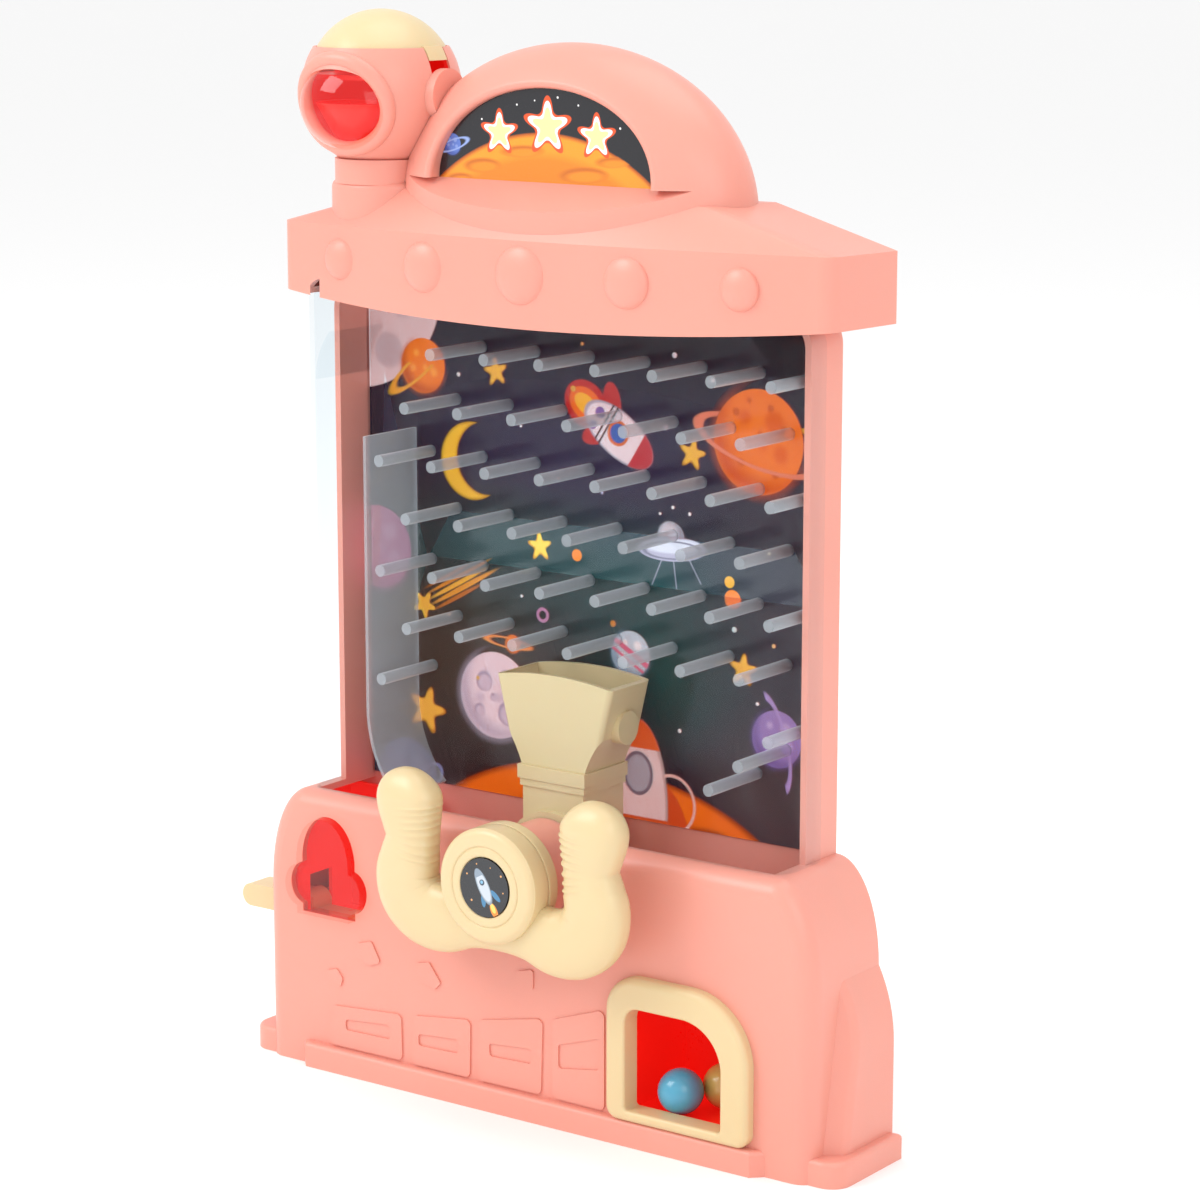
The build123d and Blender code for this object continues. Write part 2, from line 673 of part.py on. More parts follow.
def catcher_face(inset, foot_drop, lift):
    """Outline of the catcher: a wide funnel on a neck, heights from the steering axis."""
    half = catcher_half_width - inset
    waist = catcher_waist_half - inset
    neck = catcher_neck_half - inset
    edge = Line((-neck, -foot_drop), (-neck, catcher_neck - 3))
    bend = (neck + waist) / 2 - 0.8
    edge += Spline((-neck, catcher_neck - 3), (-bend, catcher_neck + 3.5), (-waist, catcher_waist))
    edge += Line((-waist, catcher_waist), (-half, catcher_top))
    edge += ThreePointArc((-half, catcher_top), (0, catcher_top + catcher_lip + lift), (half, catcher_top))
    edge += Line((half, catcher_top), (waist, catcher_waist))
    edge += Spline((waist, catcher_waist), (bend, catcher_neck + 3.5), (neck, catcher_neck - 3))
    edge += Line((neck, catcher_neck - 3), (neck, -foot_drop))
    edge += Line((neck, -foot_drop), (-neck, -foot_drop))
    return Pos(wheel_x, wheel_z) * make_face(edge)


def catcher_cheek(line):
    """Whether an edge runs along the funnel's side, on its front or its back."""
    box = line.bounding_box()
    return box.size.Y < 0.01 and box.size.X < 10 and box.max.Z > wheel_z + catcher_waist + 1


def make_catcher():
    hub_front = cover_front + cover_wall + 0.7
    hub_back = catcher_front + catcher_wall
    body = prism_y(catcher_face(0, 4, 0), catcher_front, catcher_back)
    body = fillet(body.edges().filter_by(catcher_cheek), catcher_edge)
    body += rod_y(wheel_x, wheel_z, catcher_ring_radius, hub_front, hub_back)
    for low, high, out in ((24.5, 27.0, 0.7), (27.0, 31.5, 1.3)):
        half = catcher_neck_half + out
        body += box_between(wheel_x - half, wheel_x + half, catcher_front - out, catcher_back + out / 2,
                            wheel_z + low, wheel_z + high)
    body += Pos(wheel_x + catcher_half_width - 4.5, 3, wheel_z + 46) * Rot(0, 90, 0) * Cylinder(5.5, 7)
    body -= prism_y(catcher_face(catcher_wall, 30, 9), hub_back, catcher_back - catcher_wall)
    body -= rod_y(wheel_x, wheel_z, shaft_radius + 0.02, hub_front - 1, catcher_front)
    save(body, "catcher")


# ------------------------------------------------------------------ saucer and dome
def brim_plan(half_back, half_front, front, corner, rounding):
    """Plan of the saucer: a bowed front, rounded front corners and a flat back."""
    edge = ThreePointArc((-half_front, corner), (0, front), (half_front, corner))
    edge += Line((half_front, corner), (half_back, machine_back))
    edge += Line((half_back, machine_back), (-half_back, machine_back))
    edge += Line((-half_back, machine_back), (-half_front, corner))
    face = make_face(edge)
    return Pos(top_x, 0) * fillet(face.vertices().sort_by(Axis.Y)[:2], rounding)


def brim_form(inset):
    """The saucer's outer form, every face moved in by the inset; its back stays open."""
    plan = brim_plan(brim_half_width - inset, brim_corner_half - inset, brim_front + inset,
                     brim_corner_y + inset, brim_round - inset / 2)
    upper = brim_plan(dome_half_width + 1 - inset, dome_half_width - 6 - inset, -13 + inset, -5 + inset,
                      brim_round - inset / 2)
    shoulder = brim_shoulder - inset / 2
    band = prism_z(plan, brim_low_centre - 5, shoulder)
    reach = brim_half_width + 20
    low = brim_low_centre + inset
    end = brim_low_end + inset
    below = ThreePointArc((-reach, end), (0, low), (reach, end)) + Polyline(
        (reach, end), (reach, base_height), (-reach, base_height), (-reach, end))
    band -= prism_y(Pos(top_x, 0) * make_face(below), -100, 100)
    roof = loft([Pos(0, 0, shoulder) * plan, Pos(0, 0, dome_foot_z - inset) * upper])
    return band + roof


def dome_form(inset):
    """The dome: the front part of an egg-shaped shell, flat at the back."""
    egg = ellipsoid(top_x, dome_centre_y, dome_centre_z, dome_half_width - inset,
                    dome_depth - inset, dome_height - inset)
    return egg & box_between(-100, 100, -100, machine_back, brim_shoulder, 400)


def arch_face(grow):
    """The arched opening of the dome's picture."""
    half = marquee_half_width + grow
    rise = marquee_high - marquee_low + grow
    face = Pos(top_x, marquee_low) * Ellipse(half, rise)
    return face & Pos(top_x, marquee_low + rise / 2) * Rectangle(2 * half, rise)


def make_top():
    outer = brim_form(0)
    brim = outer - brim_form(brim_wall)
    brim -= cover_form(fit)
    brim -= prism_y(field_face(-field_wall - fit, 1), 0, machine_back + 1)
    brim -= rod_z(feed_x, feed_y, feed_bore + feed_wall + fit, field_top, 400)
    brim -= box_between(rod_x - 3, rod_x + 3, rod_front - 1, rod_back + 1, field_top, dome_foot_z + 20)
    depth = brim_wall
    back = brim_form(brim_wall + fit)
    back &= box_between(-200, 200, machine_back - depth, machine_back, field_top + 1, 400)
    brim = brim.solids().sort_by(SortBy.VOLUME)[-1]
    for x, z, size in brim_bumps():
        y = brim_surface_y(x)
        bump = ellipsoid(top_x + x, y + 0.8, z, size, 3.4, size)
        brim += bump - brim_form(brim_wall)
    save(brim, "brim_shell")
    save(back, "brim_back")
    make_dome(outer)


def brim_bumps():
    """The row of round lamps on the rim: across, height and radius."""
    return [(-2 * bump_spacing + 1, bump_z, bump_radius - 2.6), (-bump_spacing, bump_z, bump_radius - 1.2),
            (0, bump_z, bump_radius), (bump_spacing, bump_z, bump_radius - 1.2),
            (2 * bump_spacing - 1, bump_z, bump_radius - 2.6)]


def brim_surface_y(x):
    """Where the bowed front is at this distance from the middle: Y = front + sag x^2 / half^2."""
    return brim_front + (brim_corner_y - brim_front) * (x / brim_corner_half) ** 2


def make_dome(brim_outer):
    shell = dome_form(0) - dome_form(dome_wall)
    keep = prism_y(arch_face(dome_wall), -60, marquee_y + 3.5)
    keep += prism_x([(-60, dome_centre_z - 6), (marquee_y + 3.5, dome_centre_z - 6),
                     (marquee_y + 3.5, marquee_low + 2), (-60, marquee_low + 2)], top_x - 60, top_x + 60)
    shell += dome_form(0) & keep
    shell -= prism_y(arch_face(0), -60, marquee_y + marquee_thickness)
    shell -= prism_x([(marquee_y, marquee_low), (-40, marquee_low - sill_drop * 33.4 / 13.4),
                      (-40, marquee_low + 0.01), (marquee_y, marquee_low + 0.01)], top_x - 60, top_x + 60)
    reach = top_x + marquee_half_width
    rims = shell.edges().filter_by(lambda line: abs(line.bounding_box().max.X - reach) < 0.1)
    rims += shell.edges().filter_by(lambda line: abs(2 * top_x - line.bounding_box().min.X - reach) < 0.1)
    shell = fillet([line for line in rims if line.bounding_box().max.Y < marquee_y - 2], arch_edge)
    shell -= brim_outer
    shell -= Pos(head_x, head_y, head_z) * Sphere(head_radius + 2 * fit)
    shell -= ear_cup(1, 2 * fit)
    shell -= prism_z(Pos(head_x, head_y) * Ellipse(torso_half_width + fit, torso_half_depth + fit),
                     brim_shoulder, torso_top + fit)
    shell -= rod_z(head_x, head_y, neck_radius + fit, torso_top, head_z)
    save(shell.solids().sort_by(SortBy.VOLUME)[-1], "dome_shell")
    picture = prism_y(arch_face(-fit), marquee_y, marquee_y + marquee_thickness)
    save(picture, "marquee_print")
    back = dome_form(dome_wall + fit) - brim_outer
    back = back & box_between(-200, 200, machine_back - dome_wall, machine_back, base_height, 400)
    save(back, "dome_back")


# ------------------------------------------------------------------ astronaut
def visor_form(inset):
    """The bulging form of the visor, moved in by the inset."""
    depth = head_y - visor_centre_back - visor_front
    return ellipsoid(head_x, head_y - visor_centre_back, visor_z, visor_half_width - inset,
                     depth - inset, visor_half_height - inset)


def ear_cup(side, grow):
    """A round pad on the side of the head."""
    middle = Pos(head_x + side * (head_radius - 1), head_y, head_z - 1)
    return middle * Rot(0, 90, 0) * Cylinder(ear_radius + grow, 6 + 2 * grow)


def make_head():
    ball = Pos(head_x, head_y, head_z) * Sphere(head_radius)
    shell = ball - Pos(head_x, head_y, head_z) * Sphere(head_radius - head_wall)
    edge = head_z + cap_height
    opening = sqrt(head_radius ** 2 - cap_height ** 2) - 0.8
    shell -= box_between(-200, 0, -100, 100, edge, 500)
    shell -= rod_z(head_x, head_y, opening, edge - 6, edge + 1)
    shell -= rod_z(head_x, head_y, neck_radius - head_wall, head_z - 2 * head_radius, head_z - 15)
    bulge = visor_form(0)
    shell -= visor_form(-fit)
    shell -= box_between(-200, 0, head_y - 5, head_y + 5, edge - 9, edge + 1)
    plane = Plane(origin=(0, head_y, 0), z_dir=(0, 1, 0))
    for keep, name in ((Keep.BOTTOM, "helmet_front"), (Keep.TOP, "helmet_rear")):
        save(split(shell, bisect_by=plane, keep=keep), name)
    visor = bulge - visor_form(visor_wall) - Pos(head_x, head_y, head_z) * Sphere(head_radius - head_wall)
    save(visor, "visor")
    head = Pos(head_x, head_y, head_z) * Sphere(head_radius)
    save(Compound(children=[ear_cup(side, 0) - head for side in (-1, 1)]), "ear_cups")
    guide_radius = sqrt((head_radius - head_wall) ** 2 - (guide_z + guide_thickness - head_z) ** 2) - fit
    guide = rod_z(head_x, head_y, guide_radius, guide_z, guide_z + guide_thickness)
    guide -= box_between(rod_x - rod_width / 2 - moving_gap, rod_x + rod_width / 2 + moving_gap,
                         rod_front - moving_gap, rod_back + moving_gap, guide_z - 1, guide_z + 5)
    guide &= box_between(-200, 0, head_y - 14, 100, guide_z - 1, guide_z + 5)
    save(guide, "button_guide")
    make_cap(opening, edge)


def make_cap(opening, edge):
    radius = opening - cap_gap
    rise = head_radius - cap_height - 0.2
    curve = (radius ** 2 + rise ** 2) / (2 * rise)
    dome = Pos(head_x, head_y, edge + rise - curve) * Sphere(curve)
    cap = dome & box_between(-200, 0, -100, 100, edge, 500)
    cap += rod_z(head_x, head_y, radius, edge - 4, edge)
    cap -= (Pos(head_x, head_y, edge + rise - curve) * Sphere(curve - 1.6)
            & rod_z(head_x, head_y, radius - 1.6, edge, edge + 20))
    cap -= rod_z(head_x, head_y, radius - 1.6, edge - 5, edge - 1.6)
    ball = Pos(head_x, head_y, head_z) * Sphere(head_radius)
    tabs = box_between(head_x - 30, head_x + 30, head_y - 4.5, head_y + 4.5, edge - 4, edge + 0.5) & ball
    cap += tabs - rod_z(head_x, head_y, radius - 1, edge - 10, edge + 10)
    save(cap, "cap_button")
    z0 = gate_z - 0.3
    rod = box_between(rod_x - rod_width / 2, rod_x + rod_width / 2, rod_front, rod_back, z0, edge - 1.6)
    wedge = prism_x([(rod_front, z0), (rod_back, z0 + rod_back - rod_front), (rod_back + 1, z0),
                     (rod_back + 1, z0 - 1), (rod_front, z0 - 1)], rod_x - 5, rod_x + 5)
    save(rod - wedge, "release_rod")
    spring = coil(edge - 1.6 - guide_z - guide_thickness, 5.5, spring_wire, 3)
    save(Pos(head_x, head_y, guide_z + guide_thickness) * spring, "button_spring")


def make_hopper():
    bore = feed_bore
    outer = bore + feed_wall
    tube = rod_z(feed_x, feed_y, outer, feed_low, bowl_low)
    tube -= rod_z(feed_x, feed_y, bore, feed_low - 1, bowl_low + 1)
    slot = box_between(feed_x - 2.7, feed_x + 2.7, feed_y, feed_y + 12,
                       gate_z - 0.2, gate_z + gate_thickness + 0.2)
    save(tube - slot, "feed_tube")
    height = bowl_high - bowl_low
    bowl = Pos(feed_x, feed_y, (bowl_low + bowl_high) / 2) * Cone(outer, bowl_radius, height)
    bowl = bowl & box_between(-200, 0, -100, rod_front - 0.4, base_height, 500)
    inner = Pos(feed_x, feed_y, (bowl_low + bowl_high) / 2 + 0.005)
    inner *= Cone(bore, bowl_radius - bowl_wall, height + 0.01)
    bowl -= inner & box_between(-200, 0, -100, rod_front - 0.4 - bowl_wall, base_height, 500)
    save(bowl, "hopper_bowl")
    tip = feed_y + bore - gate_reach
    high = gate_z + gate_thickness
    rear = rod_front + 2
    gate = box_between(feed_x - 2.5, feed_x + 2.5, tip, rear, gate_z, high)
    gate += box_between(feed_x - 2.5, rod_x - rod_width / 2 - 0.2, rear - 1.6, rear, gate_z, high)
    gate += prism_x([(rear - 1.6, gate_z), (rear, gate_z + 1.6), (rear, gate_z)],
                    rod_x - rod_width / 2 - 0.2, rod_x + rod_width / 2)
    save(gate, "gate_slider")


def make_torso(brim_outer):
    neck = rod_z(head_x, head_y, neck_radius, torso_top - 1, head_z - 22)
    ball = Pos(head_x, head_y, head_z) * Sphere(head_radius + 0.02)
    chest = Pos(head_x, head_y) * Ellipse(torso_half_width, torso_half_depth)
    chest = prism_z(chest, brim_shoulder, torso_top)
    chest = fillet(chest.faces().sort_by(Axis.Z)[-1].edges(), 2.5)
    body = (neck - ball) + chest
    body -= rod_z(head_x, head_y, neck_radius - head_wall, brim_shoulder - 1, head_z)
    body -= brim_outer
    save(body.solids().sort_by(SortBy.VOLUME)[-1], "torso")


# ------------------------------------------------------------------ balls
def make_balls():
    reach = sqrt(ball_radius ** 2 - (ball_radius - lip) ** 2)
    x = outlet_left + outlet_rim_left + ball_radius + 6.0
    y = base_front + sleeve + reach + 3 * fit
    z = tray_floor + ball_radius
    save(Pos(x, y, z) * Sphere(ball_radius), "ball_blue")
    step = 2 * ball_radius + 4 * fit
    x += step * sin(radians(33.5))
    y += step * cos(radians(33.5))
    save(Pos(x, y, z) * Sphere(ball_radius), "ball_yellow")


make_base()
tray_left, tray_right, tray_high = make_outlet()
make_window()
make_lever()
make_playfield()
make_ramps(tray_left, tray_right, tray_high)
make_wheel()
make_catcher()
make_top()
make_head()
make_hopper()
make_torso(brim_form(0))
make_balls()
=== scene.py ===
import json
import math
import bpy
import numpy as np
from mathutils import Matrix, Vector


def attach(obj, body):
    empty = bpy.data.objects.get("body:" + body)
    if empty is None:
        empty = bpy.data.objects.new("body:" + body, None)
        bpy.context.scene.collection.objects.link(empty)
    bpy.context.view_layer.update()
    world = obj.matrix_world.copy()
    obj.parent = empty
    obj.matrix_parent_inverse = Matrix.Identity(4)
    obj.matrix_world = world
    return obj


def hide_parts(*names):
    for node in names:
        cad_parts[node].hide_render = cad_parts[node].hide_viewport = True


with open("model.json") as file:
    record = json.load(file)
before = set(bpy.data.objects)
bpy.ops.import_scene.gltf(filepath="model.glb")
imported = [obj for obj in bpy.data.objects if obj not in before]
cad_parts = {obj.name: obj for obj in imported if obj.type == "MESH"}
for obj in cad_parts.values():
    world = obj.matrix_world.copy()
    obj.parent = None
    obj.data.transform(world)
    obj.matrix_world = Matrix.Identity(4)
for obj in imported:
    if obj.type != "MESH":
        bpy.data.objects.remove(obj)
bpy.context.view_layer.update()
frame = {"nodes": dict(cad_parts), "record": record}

scene = bpy.context.scene
nodes = frame["nodes"]


# ---------- shader maths ----------
class Sig:
    # a number that varies over a surface; sums and products of these become Math nodes
    def __init__(self, mat, link):
        self.mat = mat
        self.link = link

    def math(self, operation, *others, clamp=False):
        values = [self.link] + [o.link if isinstance(o, Sig) else o for o in others]
        return self.mat.node("ShaderNodeMath", {"operation": operation, "use_clamp": clamp}, values)

    def __add__(self, other):
        return self.math("ADD", other)

    def __radd__(self, other):
        return self.math("ADD", other)

    def __sub__(self, other):
        return self.math("SUBTRACT", other)

    def __rsub__(self, other):
        return self.mat.node("ShaderNodeMath", {"operation": "SUBTRACT"}, [other, self.link])

    def __mul__(self, other):
        return self.math("MULTIPLY", other)

    def __rmul__(self, other):
        return self.math("MULTIPLY", other)

    def __neg__(self):
        return self.math("MULTIPLY", -1.0)

    def __abs__(self):
        return self.math("ABSOLUTE")

    def __or__(self, other):
        # the larger of two signed distances, which is where two shapes overlap
        return self.math("MAXIMUM", other)

    def root(self):
        return self.math("SQRT")

    def cos(self):
        return self.math("COSINE")

    def edge(self, soft):
        # 1 where the number is under 0, falling to 0 over the width soft
        return (self * (-1.0 / soft) + 0.5).math("MULTIPLY", 1.0, clamp=True)


class Finish:
    # one material with a Principled shader, and the methods that add nodes to it
    def __init__(self, name, **values):
        self.material = bpy.data.materials.new(name)
        self.material.use_nodes = True
        self.tree = self.material.node_tree
        self.shader = self.tree.nodes["Principled BSDF"]
        for socket, value in values.items():
            self.set(socket, value)

    def set(self, socket, value):
        # a number or colour goes on the socket, a varying one is linked to it
        target = self.shader.inputs[socket.replace("_", " ")]
        if isinstance(value, Sig):
            self.tree.links.new(value.link, target)
        else:
            target.default_value = value

    def node(self, kind, settings, values, output=0):
        # one node, its settings, and its inputs by name or in order; gives back one output
        made = self.tree.nodes.new(kind)
        for key, value in settings.items():
            setattr(made, key, value)
        pairs = values.items() if isinstance(values, dict) else enumerate(values)
        for socket, value in pairs:
            value = value.link if isinstance(value, Sig) else value
            if isinstance(value, bpy.types.NodeSocket):
                self.tree.links.new(value, made.inputs[socket])
            elif value is not None:
                made.inputs[socket].default_value = value
        return Sig(self, made.outputs[output])

    def place(self):
        return self.node("ShaderNodeTexCoord", {}, {}, "Object")

    def xyz(self, scale=1000.0):
        # object coordinates in millimetres
        place = self.place()
        parts = [self.node("ShaderNodeSeparateXYZ", {}, [place], k) for k in range(3)]
        return [p * scale for p in parts]

    def noise(self, scale, detail=2.0, roughness=0.5):
        # 0 to 1, with scale turns to a metre
        values = {"Vector": self.place(), "Scale": scale, "Detail": detail, "Roughness": roughness}
        return self.node("ShaderNodeTexNoise", {}, values)

    def mix(self, factor, a, b):
        # colour a times (1 - factor) plus colour b times factor
        made = self.tree.nodes.new("ShaderNodeMix")
        made.data_type = "RGBA"
        for socket, value in ((made.inputs[0], factor), (made.inputs[6], a), (made.inputs[7], b)):
            value = value.link if isinstance(value, Sig) else value
            if isinstance(value, bpy.types.NodeSocket):
                self.tree.links.new(value, socket)
            else:
                socket.default_value = value
        return Sig(self, made.outputs[2])

    def bump(self, height, strength, distance):
        values = {"Height": height, "Strength": strength, "Distance": distance}
        return self.node("ShaderNodeBump", {}, values, "Normal")


def rgb(text):
    # linear colour of a sRGB hex value: ((v + 0.055) / 1.055) ^ 2.4
    values = [int(text[k:k + 2], 16) / 255 for k in (0, 2, 4)]
    return [v / 12.92 if v <= 0.04045 else ((v + 0.055) / 1.055) ** 2.4 for v in values] + [1.0]


# ---------- moulded plastics ----------
# paintedGlow is an emission strength: light painted onto a part that is no lamp
mouldings = {
    "pink": {"colour": "E89E8E", "deep": "E38F7E", "roughness": 0.36, "skin": 0.05, "paintedGlow": 0.0},
    "cream": {"colour": "DECAA0", "deep": "D8BA84", "roughness": 0.33, "skin": 0.05, "paintedGlow": 0.0},
    "red": {"colour": "E01810", "deep": "D01008", "roughness": 0.3, "skin": 0.05, "paintedGlow": 0.45},
    "inner": {"colour": "E0D8CC", "deep": "D0C8BC", "roughness": 0.45, "skin": 0.05, "paintedGlow": 0.0},
}
skin = {"slow": 14.0, "ripple": 60.0, "fine": 900.0, "drift": 0.6, "slowGloss": 0.12, "fineGloss": 0.06,
        "under": 0.12, "underColour": [1.0, 0.35, 0.2], "underDepth": 0.004}
# the middle and inner radius of the helmet's ball, the softness of its edge, and the strength of the painted red glow
# inside it
helmet = {"middle": (-72.0, 2.0, 331.0), "inside": 25.4, "soft": 0.5, "paintedGlow": 0.3}


def mouldedPlastic(name, paintInsideShade=False):
    # colour drifts with a slow noise; roughness = base + (slow - 1/2) * slowGloss + (fine - 1/2) * fineGloss
    look = mouldings[name]
    finish = Finish(name + ("PaintedShadeInside" if paintInsideShade else "Plastic"), IOR=1.5)
    slow = finish.noise(skin["slow"])
    colour = finish.mix(slow * skin["drift"], rgb(look["colour"]), rgb(look["deep"]))
    if paintInsideShade:
        # painted shade: inside the helmet's ball, where the length from its middle is under the inner radius, the
        # pink is painted deep red for the shaded hollow, and it also glows with painted light of that red
        paintedShadeRed = rgb(mouldings["red"]["colour"])
        x, y, z = [part - at for part, at in zip(finish.xyz(), helmet["middle"])]
        ball = (x * x + y * y + z * z).root() - helmet["inside"]
        colour = finish.mix(ball.edge(helmet["soft"]), colour, paintedShadeRed)
        finish.set("Emission_Color", finish.mix(ball.edge(helmet["soft"]), rgb("000000"), paintedShadeRed))
        finish.set("Emission_Strength", helmet["paintedGlow"])
    elif look["paintedGlow"]:
        # painted glow: the red parts emit light of their own colour, standing in for light that comes through their
        # walls
        finish.set("Emission_Color", colour)
        finish.set("Emission_Strength", look["paintedGlow"])
    finish.set("Base Color", colour)
    fine = finish.noise(skin["fine"], 3.0)
    gloss = look["roughness"] + (slow - 0.5) * skin["slowGloss"] + (fine - 0.5) * skin["fineGloss"]
    finish.set("Roughness", gloss)
    finish.set("Normal", finish.bump(fine * 0.4 + finish.noise(skin["ripple"]) * 0.6, look["skin"], 0.001))
    finish.set("Subsurface_Weight", skin["under"])
    finish.set("Subsurface_Radius", skin["underColour"])
    finish.set("Subsurface_Scale", skin["underDepth"])
    return finish.material


# shine is the colour of what it mirrors, tint of what it lets through; haze is mirrored at every angle
clearLooks = {
    "cover": {"shine": "FFFFFF", "tint": "FAFCFD", "ior": 1.42, "gain": 0.2, "haze": 0.0,
              "roughness": 0.04, "metal": 1.0},
    "rod": {"shine": "F4F6FA", "tint": "F2F4F6", "ior": 1.5, "gain": 1.6, "haze": 0.2,
            "roughness": 0.1, "metal": 0.0},
    "lens": {"shine": "FFFFFF", "tint": "FFF0EC", "ior": 1.5, "gain": 0.9, "haze": 0.0,
             "roughness": 0.05, "metal": 1.0},
}


def clearPlastic(name, look):
    # share mirrored = Fresnel * gain on faces turned to the eye, plus haze; the rest goes straight through
    finish = Finish(name, Roughness=look["roughness"], Metallic=look["metal"])
    finish.set("Base Color", rgb(look["shine"]))
    scratch = finish.noise(240.0, 3.0)
    finish.set("Normal", finish.bump(scratch, 0.04, 0.001))
    front = 1.0 - finish.node("ShaderNodeNewGeometry", {}, {}, "Backfacing")
    mirror = finish.node("ShaderNodeFresnel", {}, {"IOR": look["ior"]})
    share = mirror * look["gain"] * front + look["haze"]
    through = finish.tree.nodes.new("ShaderNodeBsdfTransparent")
    through.inputs[0].default_value = rgb(look["tint"])
    blend = finish.tree.nodes.new("ShaderNodeMixShader")
    finish.tree.links.new(share.math("MINIMUM", 0.95).link, blend.inputs[0])
    finish.tree.links.new(through.outputs[0], blend.inputs[1])
    finish.tree.links.new(finish.shader.outputs[0], blend.inputs[2])
    finish.tree.links.new(blend.outputs[0], finish.tree.nodes["Material Output"].inputs[0])
    return finish.material


def plainMetal():
    # a fine grain moves the grey and the roughness, 0.28 + 0.2 * grain
    finish = Finish("zincSteel", Metallic=1.0)
    grain = finish.noise(1400.0)
    finish.set("Base Color", finish.mix(grain, rgb("B8B8BC"), rgb("8C8C92")))
    finish.set("Roughness", 0.28 + grain * 0.2)
    return finish.material


def glossBall(name, colour, deep):
    # a swirl mixes two near colours, and roughness = 0.2 + 0.1 * swirl
    finish = Finish(name, IOR=1.5, Coat_Weight=0.3)
    swirl = finish.noise(120.0, 3.0)
    finish.set("Base Color", finish.mix(swirl, rgb(colour), rgb(deep)))
    finish.set("Roughness", 0.2 + swirl * 0.1)
    return finish.material


# ---------- printed pictures ----------
# pale spots of a planet: across, up and radius, as shares of its radius
craters = [(0.35, 0.4, 0.2), (-0.3, 0.45, 0.13), (0.1, -0.05, 0.1), (0.5, -0.2, 0.16), (-0.45, -0.1, 0.12)]


class Picture:
    # shapes are signed distances in millimetres, under 0 inside; each is laid over what is there
    def __init__(self, finish, soft=0.35):
        self.finish = finish
        self.x, self.y, self.z = finish.xyz()
        self.soft = soft
        self.colour = rgb("000000")

    def turned(self, x, z, degrees):
        # u along the turned axis and v across it
        c, s = math.cos(math.radians(degrees)), math.sin(math.radians(degrees))
        dx, dz = self.x - x, self.z - z
        return dx * c + dz * s, dz * c - dx * s

    def disc(self, x, z, radius):
        # length of (dx, dz) less the radius
        dx, dz = self.x - x, self.z - z
        return (dx * dx + dz * dz).root() - radius

    def oval(self, x, z, a, b, degrees=0.0):
        # (length of (u / a, v / b) - 1) times the short half-length
        u, v = self.turned(x, z, degrees)
        u, v = u * (1 / a), v * (1 / b)
        return ((u * u + v * v).root() - 1.0) * min(a, b)

    def ring(self, x, z, a, b, degrees, half):
        # |oval| less half the line's width
        return abs(self.oval(x, z, a, b, degrees)) - half

    def bar(self, x, z, a, b, degrees=0.0):
        # the larger of |u| - a and |v| - b
        u, v = self.turned(x, z, degrees)
        return (abs(u) - a) | (abs(v) - b)

    def star(self, x, z, radius, degrees=90.0):
        # length less radius * (0.71 + 0.24 cos 5t + 0.05 cos 10t)
        dx, dz = self.x - x, self.z - z
        t = dz.math("ARCTAN2", dx) * 5.0 - math.radians(5 * degrees)
        reach = t.cos() * (0.24 * radius) + (t * 2.0).cos() * (0.05 * radius) + 0.71 * radius
        return (dx * dx + dz * dz).root() - reach

    def lay(self, shape, colour, soft=None, strength=1.0):
        # what is there * (1 - mask) + colour * mask
        mask = shape.edge(soft or self.soft)
        if strength < 1.0:
            mask = mask * strength
        colour = rgb(colour) if isinstance(colour, str) else colour
        self.colour = self.finish.mix(mask, self.colour, colour)

    def planet(self, x, z, radius, colour, dark, light):
        # a disc with a darker lower left and a few pale spots
        ball = self.disc(x, z, radius)
        self.lay(ball, colour)
        self.lay(ball | -self.disc(x + 0.28 * radius, z + 0.3 * radius, 1.08 * radius), dark, 0.35 * radius)
        for dx, dz, size in craters:
            self.lay(self.disc(x + dx * radius, z + dz * radius, size * radius), light, 0.12 * radius)


def printSheet(picture, finish, paintedGlow=0.0):
    # glossy film over the picture: roughness = 0.22 + 0.08 * grain; the picture also emits its own colours, a painted
    # glow standing in for light, at the strength given
    finish.set("Base Color", picture.colour)
    finish.set("Emission_Color", picture.colour)
    finish.set("Emission_Strength", paintedGlow)
    grain = finish.noise(2600.0)
    finish.set("Roughness", 0.22 + grain * 0.08)
    finish.set("Normal", finish.bump(grain, 0.02, 0.0005))
    return finish.material


